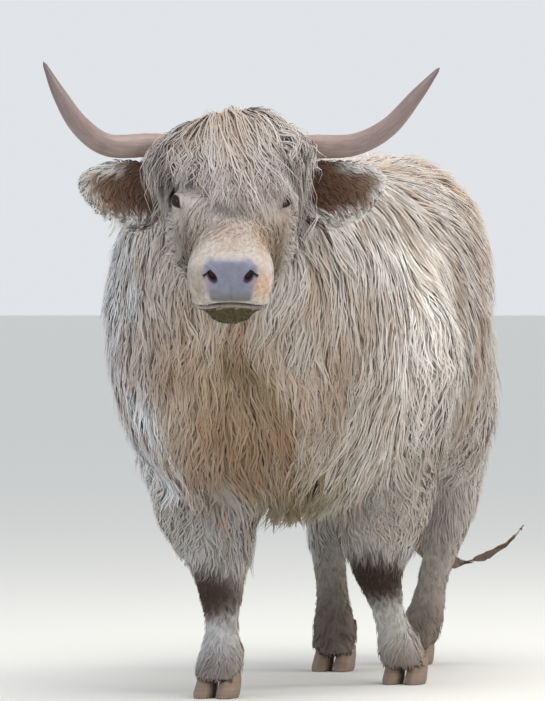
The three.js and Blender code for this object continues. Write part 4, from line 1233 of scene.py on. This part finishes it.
coat("coat_face", face, 9000, 1800, face_lie, face_length, lambda at, way: 0.0009 + 0.40 * np.maximum(face_length(at, way) - 0.012, 0),
     0.0011, hang=0.5, rings=3, gather=0.3, wave=0.002, turns=0.6, tan=0.25, pale_root=0.75, softness=0.75,
     varied=0.4, unruly=0.2, free=0.5,
     rise=np.array([0, 0.85, 1.0, 0.25]),
     axis=tuple((LEVEL @ NOD) @ np.array([0.0, -1.0, 0.0])), middle=tuple(from_skull(np.array([0.0, -150, -60]))), seed=70)

# ---- Coat: forelock -----------------------------------------------------------------------------------------
# The thatch grows from the crown between the horns, and falls forward over the brow and eyes in long wavy
# strands. Behind the horns it falls back on to the neck.


def forelock_lie(places, ways):
    at = to_skull(places)
    side = ramp(np.abs(at[:, 0]), 40, 95) * ramp(at[:, 1], -75, -20) * ramp(at[:, 2], 30, 80)
    sweep = np.sign(at[:, 0]) * (0.6 * ramp(np.abs(at[:, 0]), 25, 120) + 1.6 * side) + 0.40 * ramp(at[:, 0], -30, 50)
    beyond = ramp(np.abs(at[:, 0]), 104, 140)
    flow = np.stack([sweep * (1 - 0.8 * beyond), 0.5 * beyond - 1, -0.25 - 1.8 * beyond], 1)
    return flow @ (LEVEL @ NOD).T


def forelock_length(places, ways):
    """Long enough to reach the brow over each eye, further down in the middle, and past the eyes outside them."""
    at = to_skull(places)
    lands = at[:, 0] * 1.3 + 22 * ramp(at[:, 0], -30, 50)
    tip = np.interp(lands, (-128, -112, -88, -60, -25, 25, 60, 92, 116, 134),
                    (150, 130, 114, 150, 212, 228, 190, 118, 104, 130))
    wall = ramp(np.abs(at[:, 0]), 78, 104) * ramp(-at[:, 2], -45, 5)
    return np.maximum((tip + at[:, 1]) * 1.12 + 16, 95 - 45 * wall) * MM


def forelock_lift(places, ways):
    at = to_skull(places)
    side, top = ramp(np.abs(at[:, 0]), 45, 95), ramp(at[:, 2], 15, 75)
    return 0.044 + 0.046 * side * top - 0.024 * side * (1 - top)


THATCH = np.array([0, 0.45, 0.78, 0.96, 1.0, 0.88, 0.68, 0.46, 0.30])
coat("coat_forelock", (crown | poll_band) * (1 + 1.5 * (middle_skull[:, 2] > 60)), 4200, 300, forelock_lie, forelock_length, forelock_lift, 0.0014,
     hang=0.42, rings=7, gather=0.62, wave=0.009, turns=1.8, tan=0.5, softness=0.5, varied=0.14, free=0.7,
     axis=tuple((LEVEL @ NOD) @ np.array([0.0, -1.0, 0.0])), middle=tuple(from_skull(np.array([0.0, 0, -60]))),
     rise=THATCH, seed=80)
